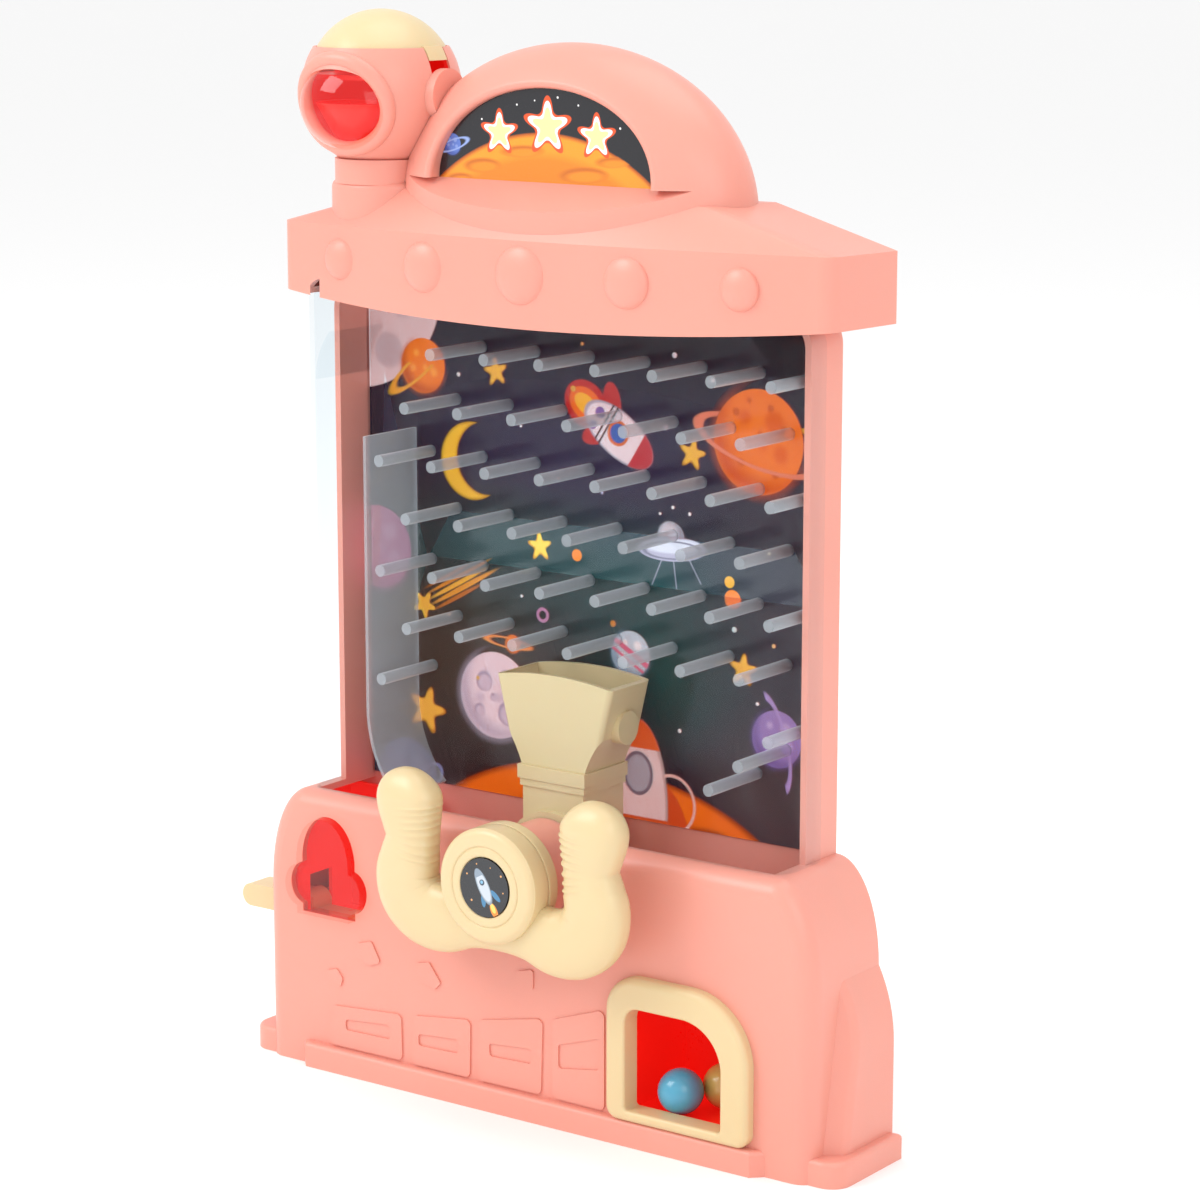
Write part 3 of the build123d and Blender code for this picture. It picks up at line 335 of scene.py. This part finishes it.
# millimetres across and up; fields are x, z, half-lengths, colour and softness
sky = {
    "ground": "1E1B2C", "paintedGlow": 0.5,
    "fields": [(0, 225, 62, 48, "2A2348", 60), (10, 262, 90, 26, "17141F", 30), (-55, 145, 45, 40, "4A3A2A", 50),
               (10, 172, 60, 18, "124443", 30), (45, 146, 38, 20, "0E4A46", 24), (-30, 182, 40, 12, "1D3A3C", 20),
               (78, 150, 30, 60, "3A3440", 40), (75, 110, 25, 22, "54484C", 24)],
    "stars": [(-38.4, 239.1, 5.0, 100), (40.4, 218.8, 5.3, 80), (-20.3, 182.5, 5.0, 95), (-69.0, 120.7, 8.4, 75),
              (60.4, 151.2, 5.6, 85), (85.5, 229.0, 4.6, 90)],
    "bigSpots": [(57, 234, 1.3), (62, 238, 0.9), (70, 236, 1.2), (75, 230, 1.0), (59, 218, 1.4), (72, 215, 1.2),
                 (66, 228, 0.8)],
    "moonPits": [(-44, 134, 3.4), (-34, 124, 4.2), (-35, 137, 2.0), (-46, 124, 2.2), (-40, 129, 1.4)],
    "dots": [(-6.6, 236.1, 1.0, "E0C050"), (-54.0, 237.0, 0.7, "F0F0F0"), (33.4, 250.0, 0.9, "E8E8F0"),
             (30.0, 226.5, 0.9, "E0E0F0"), (-5.1, 181.3, 2.0, "F08020"), (56.3, 173.7, 3.1, "F08030"),
             (55.1, 179.2, 1.9, "E8A838"), (9.4, 160.2, 1.1, "D08828"), (57.0, 164.0, 0.9, "D8E8E8"),
             (-46.7, 134.8, 0.7, "E8C860"), (36.0, 128.0, 0.7, "F0F0F0"), (-59.0, 155.0, 0.6, "F0E0C0"),
             (14.3, 154.8, 0.7, "F0F0F0"), (33.0, 201.0, 0.6, "FFFFFF"), (28.0, 198.5, 0.5, "FFFFFF"),
             (39.5, 199.5, 0.6, "FFFFFF"), (-28.0, 222.0, 0.5, "FFFFFF"), (5.0, 203.0, 0.5, "D8D8F8"),
             (70.0, 190.0, 0.6, "F0E0C0"), (-13.0, 206.0, 0.5, "FFFFFF"), (48.0, 243.0, 0.6, "FFFFFF"),
             (-80.0, 205.0, 0.6, "FFE8C0"), (-28.0, 165.0, 0.5, "FFFFFF"), (66.0, 141.0, 0.6, "FFFFFF"),
             (-3.0, 251.0, 0.6, "E8B070"), (18.0, 258.0, 0.5, "FFFFFF"), (-50.0, 226.0, 0.5, "FFFFFF"),
             (72.0, 160.5, 0.7, "F0C080")],
}


def playfieldPicture():
    # soft fields of colour, then planets, stars and craft, each laid over the last
    finish = Finish("playfieldPicture", Coat_Weight=0.4)
    art = Picture(finish)
    art.colour = rgb(sky["ground"])
    for x, z, a, b, colour, soft in sky["fields"]:
        art.lay(art.oval(x, z, a, b), colour, soft, 0.9)
    haze = finish.noise(22.0, 4.0)
    art.lay((0.62 - haze) * 40.0, "2E2A40", 6.0, 0.25)
    art.lay(art.disc(-98.4, 266.9, 37.5), "E4D8DA", 0.5)
    art.lay(art.disc(-84.0, 243.0, 6.0), "CDBFC4", 1.5)
    art.lay(art.disc(-78.0, 258.0, 4.0), "D3C6CA", 1.5)
    art.planet(-69.1, 238.8, 9.3, "F08A20", "C85A18", "F8B048")
    art.lay(art.ring(-71.5, 238.0, 13.5, 3.2, 38.0, 0.5) | (art.z - 239.5), "E8B030")
    art.planet(65.5, 225.0, 16.8, "F58A28", "D85A20", "E87018")
    for x, z, size in sky["bigSpots"]:
        art.lay(art.disc(x, z, size), "D86818", 0.5)
    belt = art.ring(65.0, 224.0, 23.0, 7.0, -14.0, 0.55)
    art.lay(belt | (art.turned(65.0, 224.0, -14.0)[1] - 1.0), "E89070")
    art.lay(belt | -art.disc(65.5, 225.0, 17.0), "E89070")
    art.planet(-89.2, 175.2, 14.2, "E070A4", "B84884", "F098C0")
    art.planet(-77.4, 97.0, 12.6, "6070A8", "3C4878", "8090C0")
    art.lay(art.ring(-67.0, 98.0, 5.0, 3.4, 40.0, 0.45), "90A0D0")
    art.planet(73.5, 130.5, 9.3, "A48ACB", "7A62A8", "C4B0E0")
    belt = art.ring(72.0, 129.0, 15.5, 5.4, -74.0, 0.5)
    art.lay(belt | -(art.turned(72.0, 129.0, -74.0)[1] - 1.0), "B8A0DC")
    for x, z, radius, tilt in sky["stars"]:
        art.lay(art.star(x, z, radius, tilt), "C88A20", 0.5)
        art.lay(art.star(x + 0.15, z + 0.2, radius * 0.86, tilt), "F4CC48", 0.9)
    moon = art.disc(-48.5, 208.5, 13.2) | -art.disc(-42.6, 209.8, 12.2)
    art.lay(moon, "C89A18")
    art.lay(moon + 0.7, "F0CC38", 0.8)
    art.lay(art.disc(-49.5, 203.5, 1.2) | moon, "C8A020")
    rocketOnSky(art)
    saucerOnSky(art)
    cometOnSky(art)
    art.planet(16.5, 151.0, 7.6, "C8DCE8", "88A8C0", "F0F8FC")
    art.lay(art.bar(16.5, 151.5, 8.0, 0.9, -30.0) | art.disc(16.5, 151.0, 7.6), "E07898")
    art.lay(art.bar(15.5, 148.8, 8.0, 0.5, -30.0) | art.disc(16.5, 151.0, 7.6), "E07898")
    art.planet(-39.2, 129.7, 14.8, "ECE2EA", "C4B8CC", "D6CADA")
    for x, z, size in sky["moonPits"]:
        art.lay(art.disc(x, z, size), "B4A8C0", 0.5)
        art.lay(art.disc(x + 0.3, z - 0.35, size * 0.8), "D8CCDC", 0.6)
    art.planet(-31.8, 148.2, 3.2, "F08828", "C86018", "F8B060")
    art.lay(art.ring(-34.0, 148.4, 9.0, 1.6, -4.0, 0.3), "F0A050")
    art.lay(art.ring(-19.3, 159.6, 2.0, 2.0, 0.0, 0.55), "C890B8")
    groundOnSky(art)
    for x, z, size, colour in sky["dots"]:
        art.lay(art.disc(x, z, size), colour, 0.3)
    # the playfield picture emits its own colours at the painted glow strength kept in sky
    return printSheet(art, finish, sky["paintedGlow"])


def rocketOnSky(art):
    # a plain rocket that points down to the right; u runs from its tail to its nose
    tilt = -33.0
    u = art.turned(11.0, 223.0, tilt)[0]
    for spread, reach, colour in ((7.5, 9.0, "C82828"), (5.2, 7.0, "F07820"), (3.0, 5.0, "F8C838")):
        art.lay(art.oval(-1.5, 231.4, reach, spread, tilt), colour)
    hull = art.oval(11.5, 222.7, 15.5, 7.6, tilt)
    art.lay(art.oval(3.2, 222.3, 6.5, 3.4, 20.0), "C83030")
    art.lay(art.oval(9.0, 233.0, 6.5, 3.4, -80.0), "C83030")
    art.lay(hull, "B8B4C4")
    art.lay(hull + 0.6, "F0EEF4")
    art.lay(hull | (9.0 - u), "C83440")
    for at in (-6.0, -4.2):
        art.lay(hull | (abs(u - at) - 0.35), "20202C")
    art.lay(art.disc(11.4, 223.0, 4.2), "E07838")
    art.lay(art.disc(11.4, 223.0, 3.2), "3868C0")
    art.lay(art.disc(4.2, 229.2, 1.9), "8868B0")
    art.lay(art.disc(1.2, 225.0, 1.5), "8868B0")


def saucerOnSky(art):
    # three thin legs, a round dome and a flat oval hull
    dome = art.disc(32.3, 191.0, 5.3)
    for x, z, tilt in ((27.0, 179.5, 66.0), (34.0, 179.5, -82.0), (41.5, 181.5, -58.0)):
        art.lay(art.bar(x, z, 5.0, 0.22, tilt), "8A8A98")
    art.lay(dome, "A8B0C0")
    art.lay(art.disc(31.4, 192.2, 3.6), "D8DEE8", 2.0)
    hull = art.oval(32.8, 187.4, 13.2, 4.0, 4.0)
    art.lay(hull, "B0A8BC")
    art.lay(art.oval(32.8, 188.4, 11.0, 2.4, 4.0), "D4D0DC", 0.8)
    art.lay(art.ring(32.8, 187.0, 11.0, 2.8, 4.0, 0.25), "7A7488")


comet = {"tilt": 28.6, "tail": [(-3.0, 11.0, 0.7, "C87828"), (-1.0, 15.0, 0.9, "E8A838"), (1.0, 13.0, 0.8, "F0C040"),
                                (3.0, 14.0, 0.7, "E09830"), (5.0, 10.0, 0.6, "C87828")]}


def cometOnSky(art):
    # thin ovals beside each other along the tilt: start + reach * (c, s) + across * (-s, c)
    c, s = math.cos(math.radians(comet["tilt"])), math.sin(math.radians(comet["tilt"]))
    for across, reach, size, colour in comet["tail"]:
        x, z = -66.0 + reach * c - across * s, 159.0 + reach * s + across * c
        art.lay(art.oval(x, z, reach, size, comet["tilt"]), colour)
    art.lay(art.star(-69.5, 157.3, 4.8, 60.0), "F0CC48")


def groundOnSky(art):
    # orange hills, a plain standing rocket and craters
    hill = art.oval(5.0, 70.0, 79.0, 42.0)
    art.lay(hill, "B04E14", 0.6)
    art.lay(hill + 1.2, "EE7F20", 1.5)
    art.lay(hill + 10.0, "D8641A", 5.0)
    for x, z, a, b in ((-45, 92, 9, 3), (45, 93, 11, 4), (-18, 86, 14, 4), (58, 84, 8, 3)):
        art.lay(art.oval(x, z, a, b, 4.0) | hill, "C05618", 1.2)
    hull = art.oval(18.5, 100.0, 13.0, 30.0)
    art.lay(art.oval(33.0, 96.0, 6.0, 13.0, 18.0), "D85A28")
    art.lay(art.oval(4.0, 96.0, 6.0, 13.0, -18.0), "D85A28")
    art.lay(hull, "B8A8A8")
    art.lay(hull + 0.9, "E8DCDC", 0.8)
    art.lay(hull | (120.0 - art.z), "E06A28")
    art.lay(hull | (abs(art.z - 96.0) - 1.0), "D8602A")
    art.lay(art.oval(19.5, 111.5, 6.0, 7.4), "807484")
    art.lay(art.oval(19.5, 111.5, 4.8, 6.2), "B4B4C0", 0.6)
    art.lay(art.ring(33.0, 103.0, 9.0, 9.5, 0.0, 0.5) | (30.0 - art.x), "E8C8C0")


arch = {
    "hills": [(-24, 309, 7, 2.2), (-8, 314, 8, 1.8), (16, 307.5, 9, 2.4), (27, 312, 6, 1.6), (-33, 304.5, 5, 1.6)],
    "stars": [(-17.0, 319.5, 6.0), (2.0, 322.0, 7.6), (21.0, 319.5, 6.0)],
    "dots": [(6.0, 331.2, 0.35), (-10, 328.5, 0.3), (14, 329.0, 0.3), (-24, 323.5, 0.3), (30, 322.5, 0.35),
             (-3, 330.0, 0.25)],
}


def archPicture():
    # an orange ground, which is the top of one big disc, under a dark sky with three plain stars
    finish = Finish("archPicture", Coat_Weight=0.4)
    art = Picture(finish, 0.25)
    art.colour = rgb("15151C")
    art.planet(-36.0, 315.2, 3.4, "5A78C8", "3A50A0", "8098D8")
    art.lay(art.ring(-35.5, 315.0, 6.0, 1.6, 18.0, 0.22), "90A8E0")
    ground = art.disc(1.0, 254.5, 65.5)
    art.lay(ground, "B85A10", 0.5)
    art.lay(ground + 0.9, "F29A22", 1.2)
    art.lay(ground + 7.0, "E08418", 3.0)
    for x, z, a, b in arch["hills"]:
        art.lay(art.oval(x, z, a, b, 3.0) | ground, "C86C14", 0.8)
        art.lay(art.oval(x + 0.6, z - 0.5, a * 0.8, b * 0.7, 3.0) | ground, "E88E1E", 0.8)
    for x, z, radius in arch["stars"]:
        art.lay(art.star(x, z, radius * 1.28, 90.0), "E4521C", 0.3)
        art.lay(art.star(x, z, radius * 1.06, 90.0), "FFFFFF", 0.3)
        art.lay(art.star(x, z, radius * 0.8, 90.0), "F6DFA0", 0.4)
    for x, z, size in arch["dots"]:
        art.lay(art.disc(x, z, size), "FFFFFF", 0.15)
    return printSheet(art, finish)


badge = {"middle": (4.2, 84.9), "tilt": 118.0,
         "dots": [(11.2, 89.4, 0.35), (-2.4, 88.2, 0.3), (-0.6, 79.8, 0.35), (12.0, 84.0, 0.25), (1.5, 92.0, 0.25),
                  (7.0, 91.5, 0.2)]}


def badgePicture():
    # an oval hull with two fins and a flame on a dark disc; its nose leans to the left
    finish = Finish("badgePicture", Coat_Weight=0.6)
    art = Picture(finish, 0.12)
    art.colour = rgb("14181F")
    (x, z), tilt = badge["middle"], badge["tilt"]
    art.lay(art.oval(8.4, 77.6, 2.6, 1.3, tilt), "E88A28")
    art.lay(art.oval(8.0, 78.4, 1.7, 0.8, tilt), "F8D060")
    art.lay(art.oval(4.2, 80.6, 2.4, 0.9, 95.0), "3F7FA8")
    art.lay(art.oval(9.0, 82.6, 2.4, 0.9, 140.0), "3F7FA8")
    hull = art.oval(x, z, 6.2, 2.3, tilt)
    art.lay(hull, "7E8E9C")
    art.lay(hull + 0.35, "C4CED8", 0.4)
    art.lay(hull | (3.6 - art.turned(x, z, tilt)[0]), "8898A8")
    art.lay(art.disc(3.6, 86.2, 1.0), "38485C")
    art.lay(art.disc(3.5, 86.3, 0.55), "80B8D8")
    for x, z, size in badge["dots"]:
        art.lay(art.disc(x, z, size), "E8A868", 0.1)
    return printSheet(art, finish)


print("finishes")
pink = mouldedPlastic("pink")
cream = mouldedPlastic("cream")
red = mouldedPlastic("red")
# pink with its inside painted deep red as shade, and a painted glow there
pinkWithPaintedShadeInside = mouldedPlastic("pink", True)
inner = mouldedPlastic("inner")
clearCover = clearPlastic("clearCover", clearLooks["cover"])
clearRod = clearPlastic("clearRod", clearLooks["rod"])
clearLens = clearPlastic("clearLens", clearLooks["lens"])
steel = plainMetal()
blue = glossBall("blueBall", "58ABC8", "3E8FB4")
yellow = glossBall("yellowBall", "D8C878", "B8A050")
playPrint = playfieldPicture()
archPrint = archPicture()
badgePrint = badgePicture()

finishes = {
    "pink_shell": pink, "cream_shell": cream, "clear_plastic": clearCover, "inner_white": inner, "steel": steel,
    "backboard_print": playPrint, "marquee_print": archPrint, "badge_print": badgePrint,
    "ball_blue": blue, "ball_yellow": yellow,
}
ownFinish = {
    "outlet_tray": red, "launch_chamber": red, "hopper_bowl": red, "button_guide": red,
    "helmet_front": pinkWithPaintedShadeInside, "helmet_rear": pinkWithPaintedShadeInside,
    "peg_pins": clearRod, "channel_divider": clearRod, "window_lens": clearLens, "visor": clearLens,
}
for part in frame["record"]["subparts"]:
    for place in nodes[part["node"]].material_slots:
        place.material = ownFinish.get(part["node"], finishes[part["material_slot"]])

# ---------- new pieces ----------
def addPiece(name, points, faces, body, replaced, finish):
    # a mesh object at the origin, its points in metres, which are millimetres / 1000
    mesh = bpy.data.meshes.new(name)
    mesh.from_pydata((points / 1000.0).tolist(), [], faces)
    mesh.shade_smooth()
    mesh.materials.append(finish)
    piece = bpy.data.objects.new(name, mesh)
    scene.collection.objects.link(piece)
    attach(piece, body)
    if replaced:
        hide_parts(*replaced)
    return piece


def joinShells(shells):
    # several point grids in one mesh, each one's faces counted on from the last
    points = np.concatenate([shell[0] for shell in shells])
    faces, start = [], 0
    for shell in shells:
        faces += [tuple(start + v for v in face) for face in shell[1]]
        start += len(shell[0])
    return points, faces


def closedRows(grid):
    # rows of rings, the first and last drawn to one point each; where the volume, the sum of
    # (a - m) . ((b - m) x (c - m)) over the faces, is under 0, every face is turned round
    rows, around = grid.shape[:2]
    first, last = grid[0].mean(0), grid[-1].mean(0)
    points = np.concatenate([grid.reshape(-1, 3), [first, last]])
    row, column = np.meshgrid(np.arange(rows - 1), np.arange(around), indexing="ij")
    beside = (column + 1) % around
    quads = np.stack([row * around + column, row * around + beside, (row + 1) * around + beside,
                      (row + 1) * around + column], -1).reshape(-1, 4)
    turn = np.arange(around)
    ahead = (turn + 1) % around
    top = np.stack([ahead, turn, np.full(around, rows * around)], -1)
    end = (rows - 1) * around
    tail = np.stack([end + turn, end + ahead, np.full(around, rows * around + 1)], -1)
    faces = [tuple(face) for part in (quads, top, tail) for face in part.tolist()]
    middle = points.mean(0)
    a, b, c = (points[quads[:, k]] for k in range(3))
    volume = np.einsum("ij,ij->i", a - middle, np.cross(b - middle, c - middle)).sum()
    if volume < 0:
        faces = [face[::-1] for face in faces]
    return points, faces


def throughPoints(marks, count):
    # a Catmull-Rom curve: half of (2b + (c - a) t + (2a - 5b + 4c - d) t^2 + (3b - 3c + d - a) t^3)
    marks = np.asarray(marks, float)
    padded = np.concatenate([[2 * marks[0] - marks[1]], marks, [2 * marks[-1] - marks[-2]]])
    place = np.linspace(0, len(marks) - 1 - 1e-9, count)
    k = place.astype(int)
    t = (place - k)[:, None]
    a, b, c, d = (padded[k + n] for n in range(4))
    return 0.5 * (2 * b + (c - a) * t + (2 * a - 5 * b + 4 * c - d) * t ** 2 + (3 * b - 3 * c + d - a) * t ** 3)


handle = {
    # across, up from the axis, half-width and half-depth along the right arm, from the grip's top to the middle
    "arm": [(37.0, 32.2, 11.6, 7.4), (37.2, 26.0, 11.8, 7.5), (36.9, 20.0, 11.5, 7.4), (36.2, 14.0, 10.2, 7.0),
            (35.9, 9.0, 9.3, 6.7), (37.0, 2.5, 10.4, 7.0), (38.0, -3.5, 11.3, 7.2), (36.2, -10.0, 11.8, 6.8),
            (30.5, -14.8, 11.6, 6.2), (22.0, -16.0, 11.0, 5.8), (12.0, -14.0, 9.8, 5.4), (0.0, -12.6, 10.2, 5.2)],
    "axis": (4.5, 84.6), "middle": -35.9, "square": 2.5, "round": 11.0, "step": 0.4,
    "ribs": {"from": 2.0, "to": 26.0, "pitch": 2.2, "height": 0.55, "outside": 24},
    "hub": [(16.2, -29.7), (17.8, -29.8), (18.8, -30.7), (19.0, -31.8), (19.0, -34.9), (18.6, -35.2), (18.6, -35.8),
            (19.0, -36.1), (19.0, -42.0), (18.8, -42.9), (18.2, -43.7), (17.3, -44.25), (16.2, -44.45), (14.2, -44.5),
            (13.5, -44.4), (13.1, -44.05), (12.7, -44.4), (12.0, -44.5), (10.8, -44.5), (10.1, -44.3), (9.85, -43.9),
            (9.8, -43.3)],
}


def makeHandle():
    # each section is centre + side * w * c + back * h * s, where c and s are cos and sin to the power 2 / square
    look = handle
    right = np.array(look["arm"])
    left = right[::-1][1:] * (-1, 1, 1, 1)
    curve = throughPoints(np.concatenate([right, left]), 900)
    run = np.concatenate([[0], np.cumsum(np.hypot(*np.diff(curve[:, :2], axis=0).T))])
    cap = look["round"] * (1 - np.cos(np.linspace(0.06, math.pi / 2, 14)))
    step = look["step"]
    along = np.arange(cap[-1] + step, run[-1] - cap[-1] - step, step)
    stations = np.concatenate([cap, along, (run[-1] - cap)[::-1]])
    x, z, wide, deep = (np.interp(stations, run, curve[:, k]) for k in range(4))
    near = np.minimum(stations, run[-1] - stations) / look["round"]
    shrink = np.sqrt(np.clip(1 - (1 - np.clip(near, 0, 1)) ** 2, 0.003, 1))
    dx, dz = np.gradient(x, stations), np.gradient(z, stations)
    length = np.hypot(dx, dz)
    sideX, sideZ = -dz / length, dx / length
    turn = np.linspace(0, 2 * math.pi, 72, endpoint=False)
    power = 2 / look["square"]
    c = np.sign(np.cos(turn)) * np.abs(np.cos(turn)) ** power
    s = np.sign(np.sin(turn)) * np.abs(np.sin(turn)) ** power
    ribs = look["ribs"]
    here = np.clip((z - ribs["from"]) / 2, 0, 1) * np.clip((ribs["to"] - z) / 2, 0, 1)
    here = here * (np.abs(x) > ribs["outside"])
    wave = np.clip(np.cos(2 * math.pi * z / ribs["pitch"]), -0.2, 1.0)
    inward = -np.sign(x)[:, None] * sideX[:, None] * c[None, :]
    patch = np.clip(inward * 2.2 + 0.2, 0, 1) * np.clip(0.75 - s[None, :], 0, 1)
    grow = 1 + (here * wave * ribs["height"])[:, None] * patch / wide[:, None]
    reach = shrink[:, None] * grow
    grid = np.stack([
        look["axis"][0] + x[:, None] + sideX[:, None] * wide[:, None] * c * reach,
        look["middle"] + deep[:, None] * s * reach,
        look["axis"][1] + z[:, None] + sideZ[:, None] * wide[:, None] * c * reach], -1)
    profile = throughPoints(look["hub"], 90)
    hub = turnedRows(profile, look["axis"])
    points, faces = joinShells([closedRows(grid), hub])
    return addPiece("handle", points, faces, "steering", ["wheel_front", "wheel_back"], cream)


def turnedRows(profile, axis, around=120):
    # axis + radius * (cos, sin) of every turn, for a profile of radius and Y
    turn = np.linspace(0, 2 * math.pi, around, endpoint=False)
    radius, y = profile[:, 0][:, None], profile[:, 1][:, None]
    grid = np.stack([axis[0] + radius * np.cos(turn), y + 0 * turn, axis[1] + radius * np.sin(turn)], -1)
    return closedRows(grid)


visorRim = {"half": (17.9, 15.0), "drop": -4.0, "tube": 2.3, "flat": 1.15, "ball": 26.2, "sink": 0.9}


def makeVisorRim():
    # a ring of round section on the ball: y = middle - root(R^2 - x^2 - z^2) at every point of an ellipse
    look, (hx, hy, hz) = visorRim, helmet["middle"]
    turn = np.linspace(0, 2 * math.pi, 160, endpoint=False)
    dx, dz = look["half"][0] * np.cos(turn), look["drop"] + look["half"][1] * np.sin(turn)
    dy = -np.sqrt(look["ball"] ** 2 - dx ** 2 - dz ** 2)
    out = np.stack([dx, dy, dz], -1)
    centre = out * (1 - look["sink"] / look["ball"])
    out /= np.linalg.norm(out, axis=1, keepdims=True)
    along = np.roll(centre, -1, 0) - np.roll(centre, 1, 0)
    along /= np.linalg.norm(along, axis=1, keepdims=True)
    side = np.cross(along, out)
    angle = np.linspace(0, 2 * math.pi, 20, endpoint=False)[None, :, None]
    section = np.cos(angle) * out[:, None] + look["flat"] * np.sin(angle) * side[:, None]
    grid = centre[:, None] + look["tube"] * section
    grid = grid + (hx, hy, hz)
    rows, around = grid.shape[:2]
    row, column = np.meshgrid(np.arange(rows), np.arange(around), indexing="ij")
    below, beside = (row + 1) % rows, (column + 1) % around
    quads = np.stack([row * around + column, below * around + column,
                      below * around + beside, row * around + beside], -1)
    faces = [tuple(face) for face in quads.reshape(-1, 4).tolist()]
    return addPiece("visorRim", grid.reshape(-1, 3), faces, "cabinet", [], pink)


print("new pieces")
makeHandle()
makeVisorRim()


# ---------- floor, light, camera ----------
print("floor, light, camera")
floorMesh = bpy.data.meshes.new("floor")
floorMesh.from_pydata([(-40, -40, 0), (40, -40, 0), (40, 40, 0), (-40, 40, 0)], [], [(0, 1, 2, 3)])
floor = bpy.data.objects.new("floor", floorMesh)
scene.collection.objects.link(floor)
paper = Finish("paper", Roughness=0.9)
paper.set("Base Color", (0.99, 0.99, 0.99, 1.0))
floorMesh.materials.append(paper.material)

world = bpy.data.worlds.new("studio")
scene.world = world
world.use_nodes = True
world.node_tree.nodes["Background"].inputs[0].default_value = (1.0, 1.0, 1.0, 1.0)
world.node_tree.nodes["Background"].inputs[1].default_value = 0.95

lamps = {
    "key": {"at": (-0.9, -1.1, 1.3), "size": 0.9, "power": 13},
    "fill": {"at": (1.4, -0.9, 0.9), "size": 1.0, "power": 5},
    "top": {"at": (0.1, 0.2, 1.8), "size": 1.2, "power": 7},
}
for name, lamp in lamps.items():
    data = bpy.data.lights.new(name, "AREA")
    data.size = lamp["size"]
    data.energy = lamp["power"]
    light = bpy.data.objects.new(name, data)
    light.location = lamp["at"]
    light.rotation_euler = (Vector((0, 0, 0.18)) - Vector(lamp["at"])).to_track_quat("-Z", "Y").to_euler()
    scene.collection.objects.link(light)

eye = {"at": (0.6632, -0.8867, 0.3909), "towards": (0.00509, 0.01705, 0.16774), "lens": 104.9}
camera = bpy.data.objects.new("camera", bpy.data.cameras.new("camera"))
camera.data.lens = eye["lens"]
camera.data.sensor_width = 36.0
camera.data.clip_start = 0.05
camera.location = eye["at"]
camera.rotation_euler = (Vector(eye["towards"]) - Vector(eye["at"])).to_track_quat("-Z", "Y").to_euler()
scene.collection.objects.link(camera)
scene.camera = camera
scene.view_settings.view_transform = "Standard"
